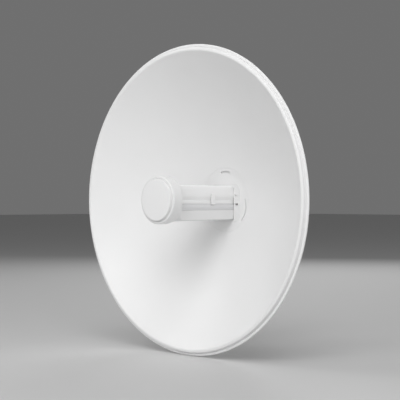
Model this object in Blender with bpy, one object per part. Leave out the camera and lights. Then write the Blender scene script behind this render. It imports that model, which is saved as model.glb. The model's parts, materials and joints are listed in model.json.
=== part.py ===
"""Wireless bridge dish antenna: a 420 mm dish with a feed through its centre and a tilting pole mount.

Metres, +Z up. The dish looks along -Y and +X is on the right of someone who faces it. The origin is
on the rear face of the pole bracket, where the pole bears on it.
"""

import math

import bmesh
import bpy
from mathutils import Vector

MM = 0.001
GAP = 0.3 * MM  # between pieces that touch

# Places along Y, in the part's own frame.
VERTEX_Y = -82 * MM  # the deepest point of the dish
PIVOT_Y = -38 * MM  # the tilt axis, which runs along X at the height of the dish axis

# Dish. Its own pieces are drawn from the vertex: +Y behind it, Z from the dish axis.
FOCAL_LENGTH = 124.6 * MM
SHEET = 1.2 * MM
HUB_HOLE_RADIUS = 45.5 * MM
APERTURE_RADIUS = 200 * MM
RIM_PLANE = 75.6 * MM  # the outer flange stands this far in front of the vertex
DISH_STEPS = 64
DISH_ROWS = 11
# The rim in mm: radius, and height in front of the rim plane. First the front side, from the bowl over
# the rolled crest and down the skirt to the flange's edge, then the rear side back to the bowl.
RIM_FRONT = [(201.2, 5.4), (202.4, 5.65), (204.2, 5.3), (205.3, 4.5), (205.7, 3.3)]
RIM_FLANGE = [(207.2, 0.9), (208.7, 1.1), (210.0, -0.1), (210.0, -0.9), (208.9, -1.4)]
RIM_BACK = [(206.6, -0.9), (204.6, 3.0), (204.2, 3.8), (203.6, 4.2), (202.5, 4.45), (201.6, 4.2)]

# Hub in the middle of the dish.
PLATE_RADIUS = 45.1 * MM
PLATE_FLAT_RADIUS = 38 * MM
PLATE_FLAT_Y = -3 * MM
PLATE_BACK_Y = 1 * MM
RING_BORE_RADIUS = 36 * MM
RING_RADIUS = 72 * MM
RING_BACK_Y = 9 * MM
RING_STEPS = 48
HUB_CUT = 10 * MM  # how far the cutters reach in front of the vertex and behind it
TOP_SLOT_RADIUS = 39.6 * MM
TOP_SLOT_WIDTH = 2.6 * MM
TOP_SLOT_ENDS = (79, 101)  # degrees
SIDE_SLOT_CENTRE = (14.6 * MM, -9 * MM)  # the hooked slots beside the tube bend about this point
SIDE_SLOT_RADIUS = 25 * MM
SIDE_SLOT_WIDTH = 1.8 * MM
SIDE_SLOT_ENDS = (-48, 25)
# Two small holes on each side of the tube, through the plate and the root flange: low and high Z.
SIDE_HOLES = [(-7.4 * MM, -4.6 * MM), (4.9 * MM, 7.2 * MM)]
SIDE_HOLE_X = (18.8 * MM, 24 * MM)

# Feed tube. Its section is centred below the dish axis and shrinks a little towards the dish.
TUBE_CENTRE_Z = -4 * MM
TUBE_HALF_WIDTH = 17 * MM
TUBE_HALF_HEIGHT = 24.1 * MM
TUBE_FRONT_Y = -104.3 * MM
TUBE_BACK_Y = 8.7 * MM
TUBE_DRAFT = 0.97  # size of the section at the vertex, against 1 at the front
CORE_HALF_WIDTH = 14 * MM
CORE_HALF_HEIGHT = 21 * MM
TOP_CORNER = 5 * MM
FOOT_CORNER = 1.6 * MM
LIP_X = 16.8 * MM  # the lower edge of the upper shell
BAND_X = 16.1 * MM  # the inset band over the lip
BAND_TOP = 4 * MM
BAND_BOTTOM = -1.3 * MM
CHANNEL_TOP = -3.7 * MM  # the channel between the shells
CHANNEL_BOTTOM = -13.4 * MM
FLOOR_X = 15.4 * MM  # where the core shows, in the channel
RAIL_X = 16.4 * MM
RAIL_TOP = -6.7 * MM
RAIL_BOTTOM = -10.7 * MM
CLIP_FRONT_Y = -49.5 * MM
CLIP_BACK_Y = -42 * MM
CLIP_X = 18.2 * MM
CLIP_SEAT_X = 17.3 * MM
CLIP_TOP = 9 * MM

# Root flange: a thin frame on the hub round the tube.
ROOT_HALF_WIDTH = 27 * MM
ROOT_TOP = 22.5 * MM
ROOT_BOTTOM = -30.5 * MM
ROOT_CORNER = 8 * MM
ROOT_THICKNESS = 0.8 * MM

# Collar and cap at the feed's front end.
COLLAR_FRONT_Y = -133.6 * MM
COLLAR_RADIUS = 31.7 * MM
CAP_FRONT_Y = -136.4 * MM
CAP_RADIUS = 28.3 * MM
CAP_EDGE = [(24, 0.2), (26.8, 0.4), (27.8, 1.2), (28.3, 2.4)]  # in mm: radius, and depth behind the cap's face
CAP_SEAT_Y = -131 * MM
COLLAR_STRAIGHT_Y = -124 * MM  # the flare ends here
COLLAR_WIDE = 18.6 * MM  # half axes of the flare's rear end
COLLAR_TALL = 25.6 * MM
COLLAR_POWER = 8  # of the superellipse at the rear end
COLLAR_SWELL = 0.7 * MM
FLARE_POWER = 1.6
FLARE_ROWS = 7
COLLAR_STEPS = 48

# Rear housing.
HOUSING_HALF_WIDTH = 30 * MM
HOUSING_TOP = 32 * MM
HOUSING_BOTTOM = -40 * MM
HOUSING_BACK_Y = 50 * MM
HOUSING_CORNER = 9 * MM
HOUSING_BEVEL = 4 * MM
BAY_HALF_WIDTH = 13 * MM
BAY_TOP = -16 * MM
BAY_FRONT_Y = 24 * MM
COVER_THICKNESS = 2 * MM
COVER_RISE = 6 * MM  # its lower edge, over the foot of the housing
SOCKET_Y = 33 * MM
SOCKET_HALF = (8 * MM, 7 * MM)
SOCKET_LOW = -29 * MM
SOCKET_ROOF = 2 * MM
PORT_HALF = (5.9 * MM, 4.3 * MM)

# Tilt bracket on the dish and pole bracket behind it.
STEEL = 2.5 * MM
WEB = 3 * MM
TILT_EAR_X = 48.5 * MM  # outer face
POLE_EAR_X = 51.5 * MM  # outer face
LOCK_RADIUS = 22 * MM  # from the pivot to the lock bolt, straight up
TILT_LIMIT = math.radians(20)
BOLT_RADIUS = 3 * MM
SLOT_HALF = 3.4 * MM
EAR_WALL = 5 * MM
EAR_NOSE = 13 * MM  # radius of both ears round the pivot
LOCK_NOSE = 11 * MM  # radius of the pole bracket's ear round the lock bolt
BEND = 4 * MM
EAR_LENGTH = 40 * MM  # of the blanks, past the pivot
TILT_HALF_HEIGHT = 63 * MM
TILT_NARROW_X = 42 * MM
STUD_X = 34 * MM
STUD_Z = 54 * MM
STUD_HOLE_RADIUS = 3.3 * MM
WEB_HALF_HEIGHT = 45 * MM
HOUSING_ROOM = 1.5 * MM  # round the housing, in the tilt bracket's opening
CUT_X = 60 * MM  # how far the brackets' cutters reach to the sides

# Nuts and bolts.
M6_FLAT = 5 * MM  # half the width across the flats
M6_FLANGE = 6.8 * MM
M6_NUT = 6 * MM
M6_NUT_FLANGE = 6.5 * MM
M6_HEAD = 5.6 * MM
BOLT_PAST_NUT = 8 * MM  # from the nut's bearing face to the bolt's tip
STUD_TIP = 9 * MM
CLAMP_BOLT_RADIUS = 4 * MM
M8_FLAT = 6.5 * MM
M8_NUT = 7.5 * MM
M8_NUT_FLANGE = 8.8 * MM
FLANGE_HEIGHT = 1 * MM
NUT_CHAMFER = 0.5 * MM

# Pole clamp.
CLAMP_BOLT_X = 29 * MM
CLAMP_PLATE_Y = 44 * MM
CLAMP_HALF_WIDTH = 38 * MM
CLAMP_HALF_HEIGHT = 17 * MM
CLAMP_CORNER = 5 * MM
CLAMP_FLANGE_LOWS = (13.5 * MM, -16 * MM)
NOTCH_APEX_Y = 41 * MM
NOTCH_HALF_WIDTH = 22 * MM
NOTCH_SLOPE = math.tan(math.radians(30))
TEETH = 8  # on each side of the apex
TOOTH = 1.5 * MM
BOLT_END_Y = 57 * MM


def clear_scene():
    for obj in list(bpy.data.objects):
        bpy.data.objects.remove(obj, do_unlink=True)


def material(name, colour, roughness, metallic):
    made = bpy.data.materials.new(name)
    made.use_nodes = True
    shader = made.node_tree.nodes["Principled BSDF"]
    shader.inputs["Base Color"].default_value = (*colour, 1)
    shader.inputs["Roughness"].default_value = roughness
    shader.inputs["Metallic"].default_value = metallic
    return made


def axis_empty(name, place):
    empty = bpy.data.objects.new(name, None)
    empty.location = place
    bpy.context.scene.collection.objects.link(empty)
    return empty


def add_object(name, bm, look=None, parent=None, place=(0, 0, 0), smooth=False):
    """One object from a bmesh, with its faces turned outwards."""
    bmesh.ops.remove_doubles(bm, verts=bm.verts, dist=1e-7)
    bmesh.ops.recalc_face_normals(bm, faces=bm.faces)
    mesh = bpy.data.meshes.new(name)
    bm.to_mesh(mesh)
    bm.free()
    if smooth:
        mesh.shade_smooth()
        mesh.set_sharp_from_angle(angle=math.radians(35))
    obj = bpy.data.objects.new(name, mesh)
    if look:
        mesh.materials.append(look)
    obj.parent = parent
    obj.location = place
    bpy.context.scene.collection.objects.link(obj)
    return obj


def loft(rings, closed=False):
    """A skin over rings of equally many points. It is capped at both ends, or joined up when closed."""
    bm = bmesh.new()
    rows = [[bm.verts.new(point) for point in ring] for ring in rings]
    pairs = list(zip(rows, rows[1:]))
    if closed:
        pairs.append((rows[-1], rows[0]))
    else:
        bm.faces.new(rows[0])
        bm.faces.new(rows[-1])
    for near, far in pairs:
        for i, corner in enumerate(near):
            following = (i + 1) % len(near)
            bm.faces.new((corner, near[following], far[following], far[i]))
    return bm


def turned(profile, steps):
    """A closed outline of (radius, y) points spun about the Y axis."""
    bm = bmesh.new()
    verts = [bm.verts.new((radius, y, 0)) for radius, y in profile]
    edges = [bm.edges.new(pair) for pair in zip(verts, verts[1:])]
    if profile[0][0] or profile[-1][0]:
        edges.append(bm.edges.new((verts[-1], verts[0])))
    bmesh.ops.spin(
        bm, geom=verts + edges, cent=(0, 0, 0), axis=(0, 1, 0), angle=math.tau, steps=steps, use_merge=True
    )
    return bm


def prism_y(outline, y_start, y_end):
    return loft([[(x, y, z) for x, z in outline] for y in (y_start, y_end)])


def prism_x(outline, x_start, x_end):
    return loft([[(x, y, z) for y, z in outline] for x in (x_start, x_end)])


def prism_z(outline, z_start, z_end):
    return loft([[(x, y, z) for x, y in outline] for z in (z_start, z_end)])


def arc(centre, radius, start, end, steps):
    """Points on an arc, from one angle to the other, in degrees."""
    angles = [math.radians(start + (end - start) * i / steps) for i in range(steps + 1)]
    return [(centre[0] + radius * math.cos(a), centre[1] + radius * math.sin(a)) for a in angles]


def rounded_box(left, right, low, high, radius, steps=4):
    """A rectangle with round corners, counter-clockwise."""
    corners = [(right, low, -90), (right, high, 0), (left, high, 90), (left, low, 180)]
    points = []
    for x, z, start in corners:
        inner_x = x - radius if x == right else x + radius
        inner_z = z - radius if z == high else z + radius
        points += arc((inner_x, inner_z), radius, start, start + 90, steps)
    return points


def cut(obj, cutters, operation="DIFFERENCE"):
    """Boolean modifiers, one for each cutter, which stay hidden from the render."""
    for number, cutter in enumerate(cutters, 1):
        cutter.parent = obj.parent
        cutter.location = obj.location
        cutter.hide_render = True
        cutter.display_type = "WIRE"
        modifier = obj.modifiers.new(f"{operation.lower()}_{number}", "BOOLEAN")
        modifier.operation = operation
        modifier.object = cutter
        modifier.solver = "EXACT"


def dish_front(radius):
    """Y of the dish's reflecting face at a radius."""
    return -(radius**2) / (4 * FOCAL_LENGTH)


def dish_back(radius, clearance=0.0):
    slope = radius / (2 * FOCAL_LENGTH)
    return dish_front(radius) + (SHEET + clearance) * math.sqrt(1 + slope**2)


def spaced(start, end, count):
    return [start + (end - start) * i / (count - 1) for i in range(count)]


def make_dish(look, parent, place):
    """One sheet: bowl, rolled crest, skirt and outer flange."""
    radii = spaced(HUB_HOLE_RADIUS, APERTURE_RADIUS, DISH_ROWS)
    rim = [(r * MM, -RIM_PLANE - height * MM) for r, height in RIM_FRONT + RIM_FLANGE + RIM_BACK]
    profile = [(r, dish_front(r)) for r in radii] + rim + [(r, dish_back(r)) for r in reversed(radii)]
    return add_object("dish_reflector", turned(profile, DISH_STEPS), look, parent, place, smooth=True)


def slot_outline(centre, radius, width, start, end):
    """An arc-shaped slot between two angles, in degrees."""
    outer = arc(centre, radius + width / 2, start, end, 8)
    inner = arc(centre, radius - width / 2, end, start, 8)
    return outer + inner


def mirrored(half):
    """A symmetric outline from its right half, which runs upwards."""
    return half + [(-x, z) for x, z in reversed(half)]


def tube_foot(grow=0.0):
    """The tube's lower right corner, from the side to the underside."""
    corner_x = TUBE_HALF_WIDTH - FOOT_CORNER
    corner_z = TUBE_CENTRE_Z - TUBE_HALF_HEIGHT + FOOT_CORNER
    return arc((corner_x, corner_z), FOOT_CORNER + grow, 0, -90, 3)


def tube_shoulder(grow=0.0):
    """The tube's upper right corner, from the side to the top."""
    corner_x = TUBE_HALF_WIDTH - TOP_CORNER
    corner_z = TUBE_CENTRE_Z + TUBE_HALF_HEIGHT - TOP_CORNER
    return arc((corner_x, corner_z), TOP_CORNER + grow, 0, 90, 5)


def tube_outline(grow):
    """The outer outline of the feed tube, grown on all sides."""
    return mirrored(tube_foot(grow)[::-1] + tube_shoulder(grow))


def side_hole_cutters(owner):
    """The two holes on each side of the tube, as cutters for one piece."""
    near, far = SIDE_HOLE_X
    cutters = []
    for number, (low, high) in enumerate(SIDE_HOLES, 1):
        right = [(near, low), (far, low), (far, high), (near, high)]
        for side, sign in (("left", -1), ("right", 1)):
            hole = prism_y([(sign * x, z) for x, z in right], -HUB_CUT, HUB_CUT)
            cutters.append(add_object(f"{owner}_hole_{side}_{number}", hole))
    return cutters


def make_hub(plastic, parent, place):
    profile = [(0, PLATE_FLAT_Y), (PLATE_FLAT_RADIUS, PLATE_FLAT_Y)]
    profile += [(r, dish_front(r)) for r in spaced(PLATE_FLAT_RADIUS + 0.8 * MM, PLATE_RADIUS, 3)]
    profile += [(PLATE_RADIUS, PLATE_BACK_Y), (0, PLATE_BACK_Y)]
    plate = add_object("hub_front_plate", turned(profile, DISH_STEPS), plastic, parent, place, smooth=True)
    aperture = add_object("hub_aperture", prism_y(tube_outline(0.4 * MM), -HUB_CUT, HUB_CUT))
    top = slot_outline((0, 0), TOP_SLOT_RADIUS, TOP_SLOT_WIDTH, *TOP_SLOT_ENDS)
    right = slot_outline(SIDE_SLOT_CENTRE, SIDE_SLOT_RADIUS, SIDE_SLOT_WIDTH, *SIDE_SLOT_ENDS)
    left = [(-x, z) for x, z in right]
    cutters = [aperture] + side_hole_cutters("hub")
    for name, outline in (("top", top), ("right", right), ("left", left)):
        cutters.append(add_object(f"hub_slot_{name}", prism_y(outline, -HUB_CUT, HUB_CUT)))
    cut(plate, cutters)

    ring = [(RING_BORE_RADIUS, PLATE_BACK_Y + GAP), (HUB_HOLE_RADIUS, PLATE_BACK_Y + GAP)]
    ring += [(r, dish_back(r, GAP)) for r in spaced(HUB_HOLE_RADIUS, RING_RADIUS, 4)]
    ring += [(RING_RADIUS, RING_BACK_Y), (RING_BORE_RADIUS, RING_BACK_Y)]
    add_object("hub_ring", turned(ring, RING_STEPS), plastic, parent, place, smooth=True)


def draft_at(y):
    """How large the tube's section is at a place along it."""
    along = (y - TUBE_FRONT_Y) / (0 - TUBE_FRONT_Y)
    return 1 + (TUBE_DRAFT - 1) * along


def drafted(outline, y_start, y_end):
    """A prism along the feed whose section shrinks towards the dish, about the tube's centre."""
    rings = []
    for y in (y_start, y_end):
        size = draft_at(y)
        rings.append([(x * size, y, TUBE_CENTRE_Z + (z - TUBE_CENTRE_Z) * size) for x, z in outline])
    return loft(rings)


def shell_outline(outside, inside):
    """A shell's section from the right half of its outside and of its inside."""
    left_outside = [(-x, z) for x, z in reversed(outside)]
    left_inside = [(-x, z) for x, z in reversed(inside)]
    return outside + left_outside + left_inside + inside


def make_feed_tube(shell, rail, parent, place):
    core_top = TUBE_CENTRE_Z + CORE_HALF_HEIGHT
    core_bottom = TUBE_CENTRE_Z - CORE_HALF_HEIGHT
    inner = CORE_HALF_WIDTH + GAP
    ends = (TUBE_FRONT_Y, TUBE_BACK_Y)

    # The core is wider where it shows, as the channel's floor.
    core = [(CORE_HALF_WIDTH, core_bottom), (CORE_HALF_WIDTH, CHANNEL_BOTTOM + GAP)]
    core += [(FLOOR_X, CHANNEL_BOTTOM + GAP), (FLOOR_X, CHANNEL_TOP - GAP)]
    core += [(CORE_HALF_WIDTH, CHANNEL_TOP - GAP), (CORE_HALF_WIDTH, core_top)]
    add_object("feed_core", drafted(mirrored(core), *ends), rail, parent, place)

    # The upper shell hangs over the core: its outside, then its inside.
    outside = [(LIP_X, CHANNEL_TOP), (LIP_X, BAND_BOTTOM), (BAND_X, BAND_BOTTOM), (BAND_X, BAND_TOP)]
    outside += [(TUBE_HALF_WIDTH, BAND_TOP)] + tube_shoulder()
    inside = [(inner, core_top + GAP), (inner, CHANNEL_TOP)]
    upper = drafted(shell_outline(outside, inside), *ends)
    add_object("feed_upper_shell", upper, shell, parent, place, smooth=True)

    outside = [(TUBE_HALF_WIDTH, CHANNEL_BOTTOM)] + tube_foot()
    inside = [(inner, core_bottom - GAP), (inner, CHANNEL_BOTTOM)]
    lower = drafted(shell_outline(outside, inside), *ends)
    add_object("feed_lower_shell", lower, shell, parent, place, smooth=True)

    # On each side: a rail in the channel between the shells, and a clip that bridges the channel.
    seat = FLOOR_X + GAP
    strip = [(seat, RAIL_BOTTOM), (RAIL_X, RAIL_BOTTOM), (RAIL_X, RAIL_TOP), (seat, RAIL_TOP)]
    post = [(seat, RAIL_TOP + GAP), (seat, CHANNEL_TOP - GAP), (CLIP_SEAT_X, CHANNEL_TOP - GAP)]
    post += [(CLIP_SEAT_X, CLIP_TOP), (CLIP_X, CLIP_TOP - 1 * MM), (CLIP_X, RAIL_TOP + 1.1 * MM)]
    post += [(CLIP_SEAT_X, RAIL_TOP + GAP)]
    for side, sign in (("left", -1), ("right", 1)):
        rail_bm = drafted([(sign * x, z) for x, z in strip], *ends)
        add_object(f"feed_rail_{side}", rail_bm, rail, parent, place)
        clip_bm = drafted([(sign * x, z) for x, z in post], CLIP_FRONT_Y, CLIP_BACK_Y)
        add_object(f"feed_clip_{side}", clip_bm, shell, parent, place)


def make_root_flange(shell, parent, place):
    """The thin frame round the tube where it enters the hub."""
    outline = rounded_box(-ROOT_HALF_WIDTH, ROOT_HALF_WIDTH, ROOT_BOTTOM, ROOT_TOP, ROOT_CORNER)
    back = PLATE_FLAT_Y - GAP
    frame = prism_y(outline, back - ROOT_THICKNESS, back)
    flange = add_object("feed_root_flange", frame, shell, parent, place)
    aperture = add_object("root_flange_aperture", prism_y(tube_outline(GAP), -HUB_CUT, HUB_CUT))
    cut(flange, [aperture] + side_hole_cutters("root_flange"))


def collar_ring(y, blend):
    """A ring between the round front, at blend 1, and the tube's oblong section, at blend 0."""
    points = []
    for i in range(COLLAR_STEPS):
        angle = math.tau * i / COLLAR_STEPS
        wide, tall = abs(math.cos(angle)) / COLLAR_WIDE, abs(math.sin(angle)) / COLLAR_TALL
        oblong = (wide**COLLAR_POWER + tall**COLLAR_POWER) ** (-1 / COLLAR_POWER)
        radius = oblong * (1 - blend) + (COLLAR_RADIUS - COLLAR_SWELL) * blend
        centre = TUBE_CENTRE_Z * (1 - blend)
        points.append((radius * math.cos(angle), y, centre + radius * math.sin(angle)))
    return points


def circle_ring(radius, y):
    angles = [math.tau * i / COLLAR_STEPS for i in range(COLLAR_STEPS)]
    return [(radius * math.cos(a), y, radius * math.sin(a)) for a in angles]


def make_collar_and_cap(shell, parent, place):
    """The collar flares from the oblong tube to a round rim, which holds the cap."""
    back_y = TUBE_FRONT_Y - GAP
    rings = []
    for along in spaced(0, 1, FLARE_ROWS):
        rings.append(collar_ring(back_y + (COLLAR_STRAIGHT_Y - back_y) * along, along**FLARE_POWER))
    rings += [
        circle_ring(COLLAR_RADIUS, -129 * MM),
        circle_ring(COLLAR_RADIUS, COLLAR_FRONT_Y + 1.6 * MM),
        circle_ring(COLLAR_RADIUS - 0.7 * MM, COLLAR_FRONT_Y + 0.3 * MM),
        circle_ring(COLLAR_RADIUS - 1.6 * MM, COLLAR_FRONT_Y),
        circle_ring(CAP_RADIUS + 0.7 * MM, COLLAR_FRONT_Y + 0.6 * MM),
        circle_ring(CAP_RADIUS + 0.5 * MM, CAP_SEAT_Y),
    ]
    add_object("feed_collar", loft(rings), shell, parent, place, smooth=True)
    profile = [(0, CAP_FRONT_Y)] + [(r * MM, CAP_FRONT_Y + depth * MM) for r, depth in CAP_EDGE]
    profile += [(CAP_RADIUS, CAP_SEAT_Y - GAP), (0, CAP_SEAT_Y - GAP)]
    add_object("feed_cap", turned(profile, COLLAR_STEPS), shell, parent, place, smooth=True)


def rectangle(centre, half):
    """Four corners round a centre, from half the width and half the height."""
    (x, y), (wide, tall) = centre, half
    return [(x - wide, y - tall), (x + wide, y - tall), (x + wide, y + tall), (x - wide, y + tall)]


def housing_outline(grow, radius):
    half_width = HOUSING_HALF_WIDTH + grow
    return rounded_box(-half_width, half_width, HOUSING_BOTTOM - grow, HOUSING_TOP + grow, radius)


def make_housing(plastic, metal, parent, place):
    """The housing holds the feed's rear end. Its bay opens downwards, over the network socket."""
    outline = housing_outline(0, HOUSING_CORNER)
    inset = housing_outline(-HOUSING_BEVEL, HOUSING_CORNER - HOUSING_BEVEL)
    straight = (RING_BACK_Y + GAP, HOUSING_BACK_Y - HOUSING_BEVEL)
    rings = [[(x, y, z) for x, z in outline] for y in straight]
    rings.append([(x, HOUSING_BACK_Y, z) for x, z in inset])
    housing = add_object("rear_housing", loft(rings), plastic, parent, place, smooth=True)
    bay_middle = (0, (BAY_FRONT_Y + HOUSING_BACK_Y) / 2 + HUB_CUT)
    bay = rectangle(bay_middle, (BAY_HALF_WIDTH, bay_middle[1] - BAY_FRONT_Y))
    cut(housing, [add_object("housing_bay", prism_z(bay, HOUSING_BOTTOM - HUB_CUT, BAY_TOP))])

    # The cover closes the bay's rear side and leaves its foot open for the cable.
    half_width = BAY_HALF_WIDTH - GAP
    cover = rounded_box(-half_width, half_width, HOUSING_BOTTOM + COVER_RISE, BAY_TOP - GAP, 1 * MM, 1)
    cover_bm = prism_y(cover, HOUSING_BACK_Y - COVER_THICKNESS, HOUSING_BACK_Y)
    add_object("port_cover", cover_bm, plastic, parent, place)

    body = rectangle((0, SOCKET_Y), SOCKET_HALF)
    socket = add_object("network_socket", prism_z(body, SOCKET_LOW, BAY_TOP - GAP), metal, parent, place)
    port = prism_z(rectangle((0, SOCKET_Y), PORT_HALF), SOCKET_LOW - HUB_CUT, BAY_TOP - SOCKET_ROOF)
    cut(socket, [add_object("socket_hole", port)])


def channel(outer_x, web_near, web_far, ear_end, thickness, bend):
    """A U-shaped sheet seen from above: a web along X, and two ears that run to ear_end along Y."""
    direction = 1 if ear_end > web_near else -1
    right = []
    # Outside of the web, round the bend and out along the ear.
    for x, y in arc((0, 0), 1, -90, 0, 4):
        right.append((outer_x - bend + bend * x, web_near + direction * (bend + bend * y)))
    right.append((outer_x, ear_end))
    right.append((outer_x - thickness, ear_end))
    inner_bend = bend - thickness
    for x, y in arc((0, 0), 1, 0, -90, 4):
        right.append((outer_x - bend + inner_bend * x, web_far + direction * (inner_bend + inner_bend * y)))
    return right + [(-x, y) for x, y in reversed(right)]


def cylinder_x(name, y, z, radius, half_length, steps=24):
    circle = arc((y, z), radius, 0, 360 * (steps - 1) / steps, steps - 1)
    return add_object(name, prism_x(circle, -half_length, half_length))


def cylinder_y(name, x, z, radius, y_start, y_end, steps=24):
    circle = arc((x, z), radius, 0, 360 * (steps - 1) / steps, steps - 1)
    return add_object(name, prism_y(circle, y_start, y_end))


def make_tilt_bracket(steel, parent, place):
    """The bracket behind the dish. Its ears carry the pivot and an arc slot for the lock bolt."""
    plate_y = RING_BACK_Y + GAP
    plate_back = plate_y + STEEL + 2 * MM
    pivot_y = PIVOT_Y - VERTEX_Y
    past = TILT_HALF_HEIGHT + 5 * MM
    section = channel(TILT_EAR_X, plate_y, plate_y + STEEL, pivot_y + EAR_LENGTH, STEEL, BEND)
    blank = prism_z(section, -TILT_HALF_HEIGHT, TILT_HALF_HEIGHT)
    bracket = add_object("tilt_bracket", blank, steel, parent, place)

    # Seen from the side: the plate, then the ear round the slot's two ends and the pivot.
    limit = math.degrees(TILT_LIMIT)
    reach = SLOT_HALF + EAR_WALL
    slot_ends = [(pivot_y + y, z) for y, z in arc((0, 0), LOCK_RADIUS, 90 - limit, 90 + limit, 1)]
    side = [(plate_y - 5 * MM, -past), (plate_back, -past)]
    side += [(plate_back, -24 * MM), (pivot_y - 6 * MM, -EAR_NOSE)]
    side += arc((pivot_y, 0), EAR_NOSE, -90, 20, 6)
    side += arc(slot_ends[0], reach, 0, 90 - limit, 5)
    side += arc((pivot_y, 0), LOCK_RADIUS + reach, 90 - limit + 8, 90 + limit, 4)
    side += [(pivot_y - 24 * MM, 28 * MM), (plate_back, 40 * MM)]
    side += [(plate_back, past), (plate_y - 5 * MM, past)]
    side_cutter = add_object("tilt_side_outline", prism_x(side, -CUT_X, CUT_X))

    # Seen from the front: narrower above and below the ears.
    wide = TILT_EAR_X + 6 * MM
    front = [(TILT_NARROW_X, -past), (TILT_NARROW_X, -34 * MM), (wide, -22 * MM), (wide, 38 * MM)]
    front += [(TILT_NARROW_X, 50 * MM), (TILT_NARROW_X, past)]
    front_bm = prism_y(mirrored(front), plate_y - CUT_X, plate_y + 2 * CUT_X)
    front_cutter = add_object("tilt_front_outline", front_bm)
    cut(bracket, [side_cutter, front_cutter], "INTERSECT")

    opening = housing_outline(HOUSING_ROOM, HOUSING_CORNER + 1 * MM)
    holes = [add_object("tilt_opening", prism_y(opening, 0, plate_back + HUB_CUT))]
    for number, (x, z) in enumerate(stud_places(), 1):
        holes.append(cylinder_y(f"stud_hole_{number}", x, z, STUD_HOLE_RADIUS, 0, plate_back + HUB_CUT, 16))
    holes.append(cylinder_x("tilt_pivot_hole", pivot_y, 0, BOLT_RADIUS + GAP, CUT_X))
    slot = arc((pivot_y, 0), LOCK_RADIUS + SLOT_HALF, 90 - limit, 90 + limit, 6)
    slot += arc(slot_ends[1], SLOT_HALF, 90 + limit, 270 + limit, 8)[1:-1]
    slot += arc((pivot_y, 0), LOCK_RADIUS - SLOT_HALF, 90 + limit, 90 - limit, 6)
    slot += arc(slot_ends[0], SLOT_HALF, -90 - limit, 90 - limit, 8)[1:-1]
    holes.append(add_object("tilt_slot", prism_x(slot, -CUT_X, CUT_X)))
    cut(bracket, holes)


def stud_places():
    return [(sign_x * STUD_X, sign_z * STUD_Z) for sign_z in (1, -1) for sign_x in (-1, 1)]


def hexagon(half_across):
    """Twelve points round a hexagon: its corners and the middles of its sides."""
    points = []
    for i in range(12):
        angle = math.radians(30 * i)
        reach = half_across / math.cos(math.radians(30)) if i % 2 else half_across
        points.append((reach * math.cos(angle), reach * math.sin(angle)))
    return points


def disc(radius):
    """Twelve points round a circle."""
    return arc((0, 0), radius, 0, 330, 11)


def square(half):
    """Twelve points round a square."""
    points = []
    for i in range(12):
        angle = math.radians(30 * i)
        reach = half / max(abs(math.cos(angle)), abs(math.sin(angle)))
        points.append((reach * math.cos(angle), reach * math.sin(angle)))
    return points


def along(direction, outline, distance):
    """An outline lifted off the origin by a distance along X or Y."""
    if direction == "x":
        return [(distance, a, b) for a, b in outline]
    return [(a, distance, b) for a, b in outline]


def stack(direction, steps, closed=False):
    return loft([along(direction, outline, distance) for outline, distance in steps], closed)


def make_flange_bolt(name, steel, x_head, x_tip, place_yz):
    """A hexagon head with its flange, and a shank that runs along X from x_head to x_tip."""
    out = 1 if x_head > x_tip else -1
    steps = [
        (hexagon(M6_FLAT * 0.88), x_head + out * M6_HEAD),
        (hexagon(M6_FLAT), x_head + out * (M6_HEAD - 0.6 * MM)),
        (hexagon(M6_FLAT), x_head + out * (FLANGE_HEIGHT + 0.4 * MM)),
        (disc(M6_FLANGE), x_head + out * FLANGE_HEIGHT),
        (disc(M6_FLANGE), x_head),
        (disc(BOLT_RADIUS), x_head),
        (disc(BOLT_RADIUS), x_tip),
    ]
    y, z = place_yz
    add_object(name, stack("x", steps), steel, None, (0, y, z))


def nut_steps(half_across, bore, start, end, flange):
    """A nut from its bearing face at start to its free face at end."""
    out = 1 if end > start else -1
    return [
        (disc(bore), start),
        (disc(flange), start),
        (disc(flange), start + out * FLANGE_HEIGHT),
        (hexagon(half_across), start + out * (FLANGE_HEIGHT + NUT_CHAMFER)),
        (hexagon(half_across), end - out * NUT_CHAMFER),
        (hexagon(half_across * 0.9), end),
        (disc(bore), end),
    ]


def make_pole_bracket(steel):
    """The fixed bracket: a flat web that bears on the pole, and two ears that hold the tilt bolts."""
    section = channel(POLE_EAR_X, 0, -WEB, PIVOT_Y - EAR_LENGTH, STEEL, BEND)
    bracket = add_object("pole_bracket", prism_z(section, -WEB_HALF_HEIGHT, WEB_HALF_HEIGHT), steel)
    past = WEB_HALF_HEIGHT + 5 * MM
    root = -WEB - 3 * MM
    side = [(5 * MM, -past), (5 * MM, past), (root, past), (root, 38 * MM)]
    side += arc((PIVOT_Y, LOCK_RADIUS), LOCK_NOSE, 75, 180, 6)
    side += arc((PIVOT_Y, 0), EAR_NOSE, 180, 285, 6)
    side += [(root, -26 * MM), (root, -past)]
    cut(bracket, [add_object("pole_side_outline", prism_x(side, -CUT_X, CUT_X))], "INTERSECT")
    holes = [
        cylinder_x("pole_pivot_hole", PIVOT_Y, 0, BOLT_RADIUS + GAP, CUT_X),
        cylinder_x("pole_lock_hole", PIVOT_Y, LOCK_RADIUS, BOLT_RADIUS + GAP, CUT_X),
    ]
    for side_name, sign in (("left", -1), ("right", 1)):
        half = CLAMP_BOLT_RADIUS + GAP
        outline = rectangle((sign * CLAMP_BOLT_X, 0), (half, half))
        holes.append(add_object(f"web_hole_{side_name}", prism_y(outline, -WEB - 5 * MM, 5 * MM)))
    cut(bracket, holes)


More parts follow.
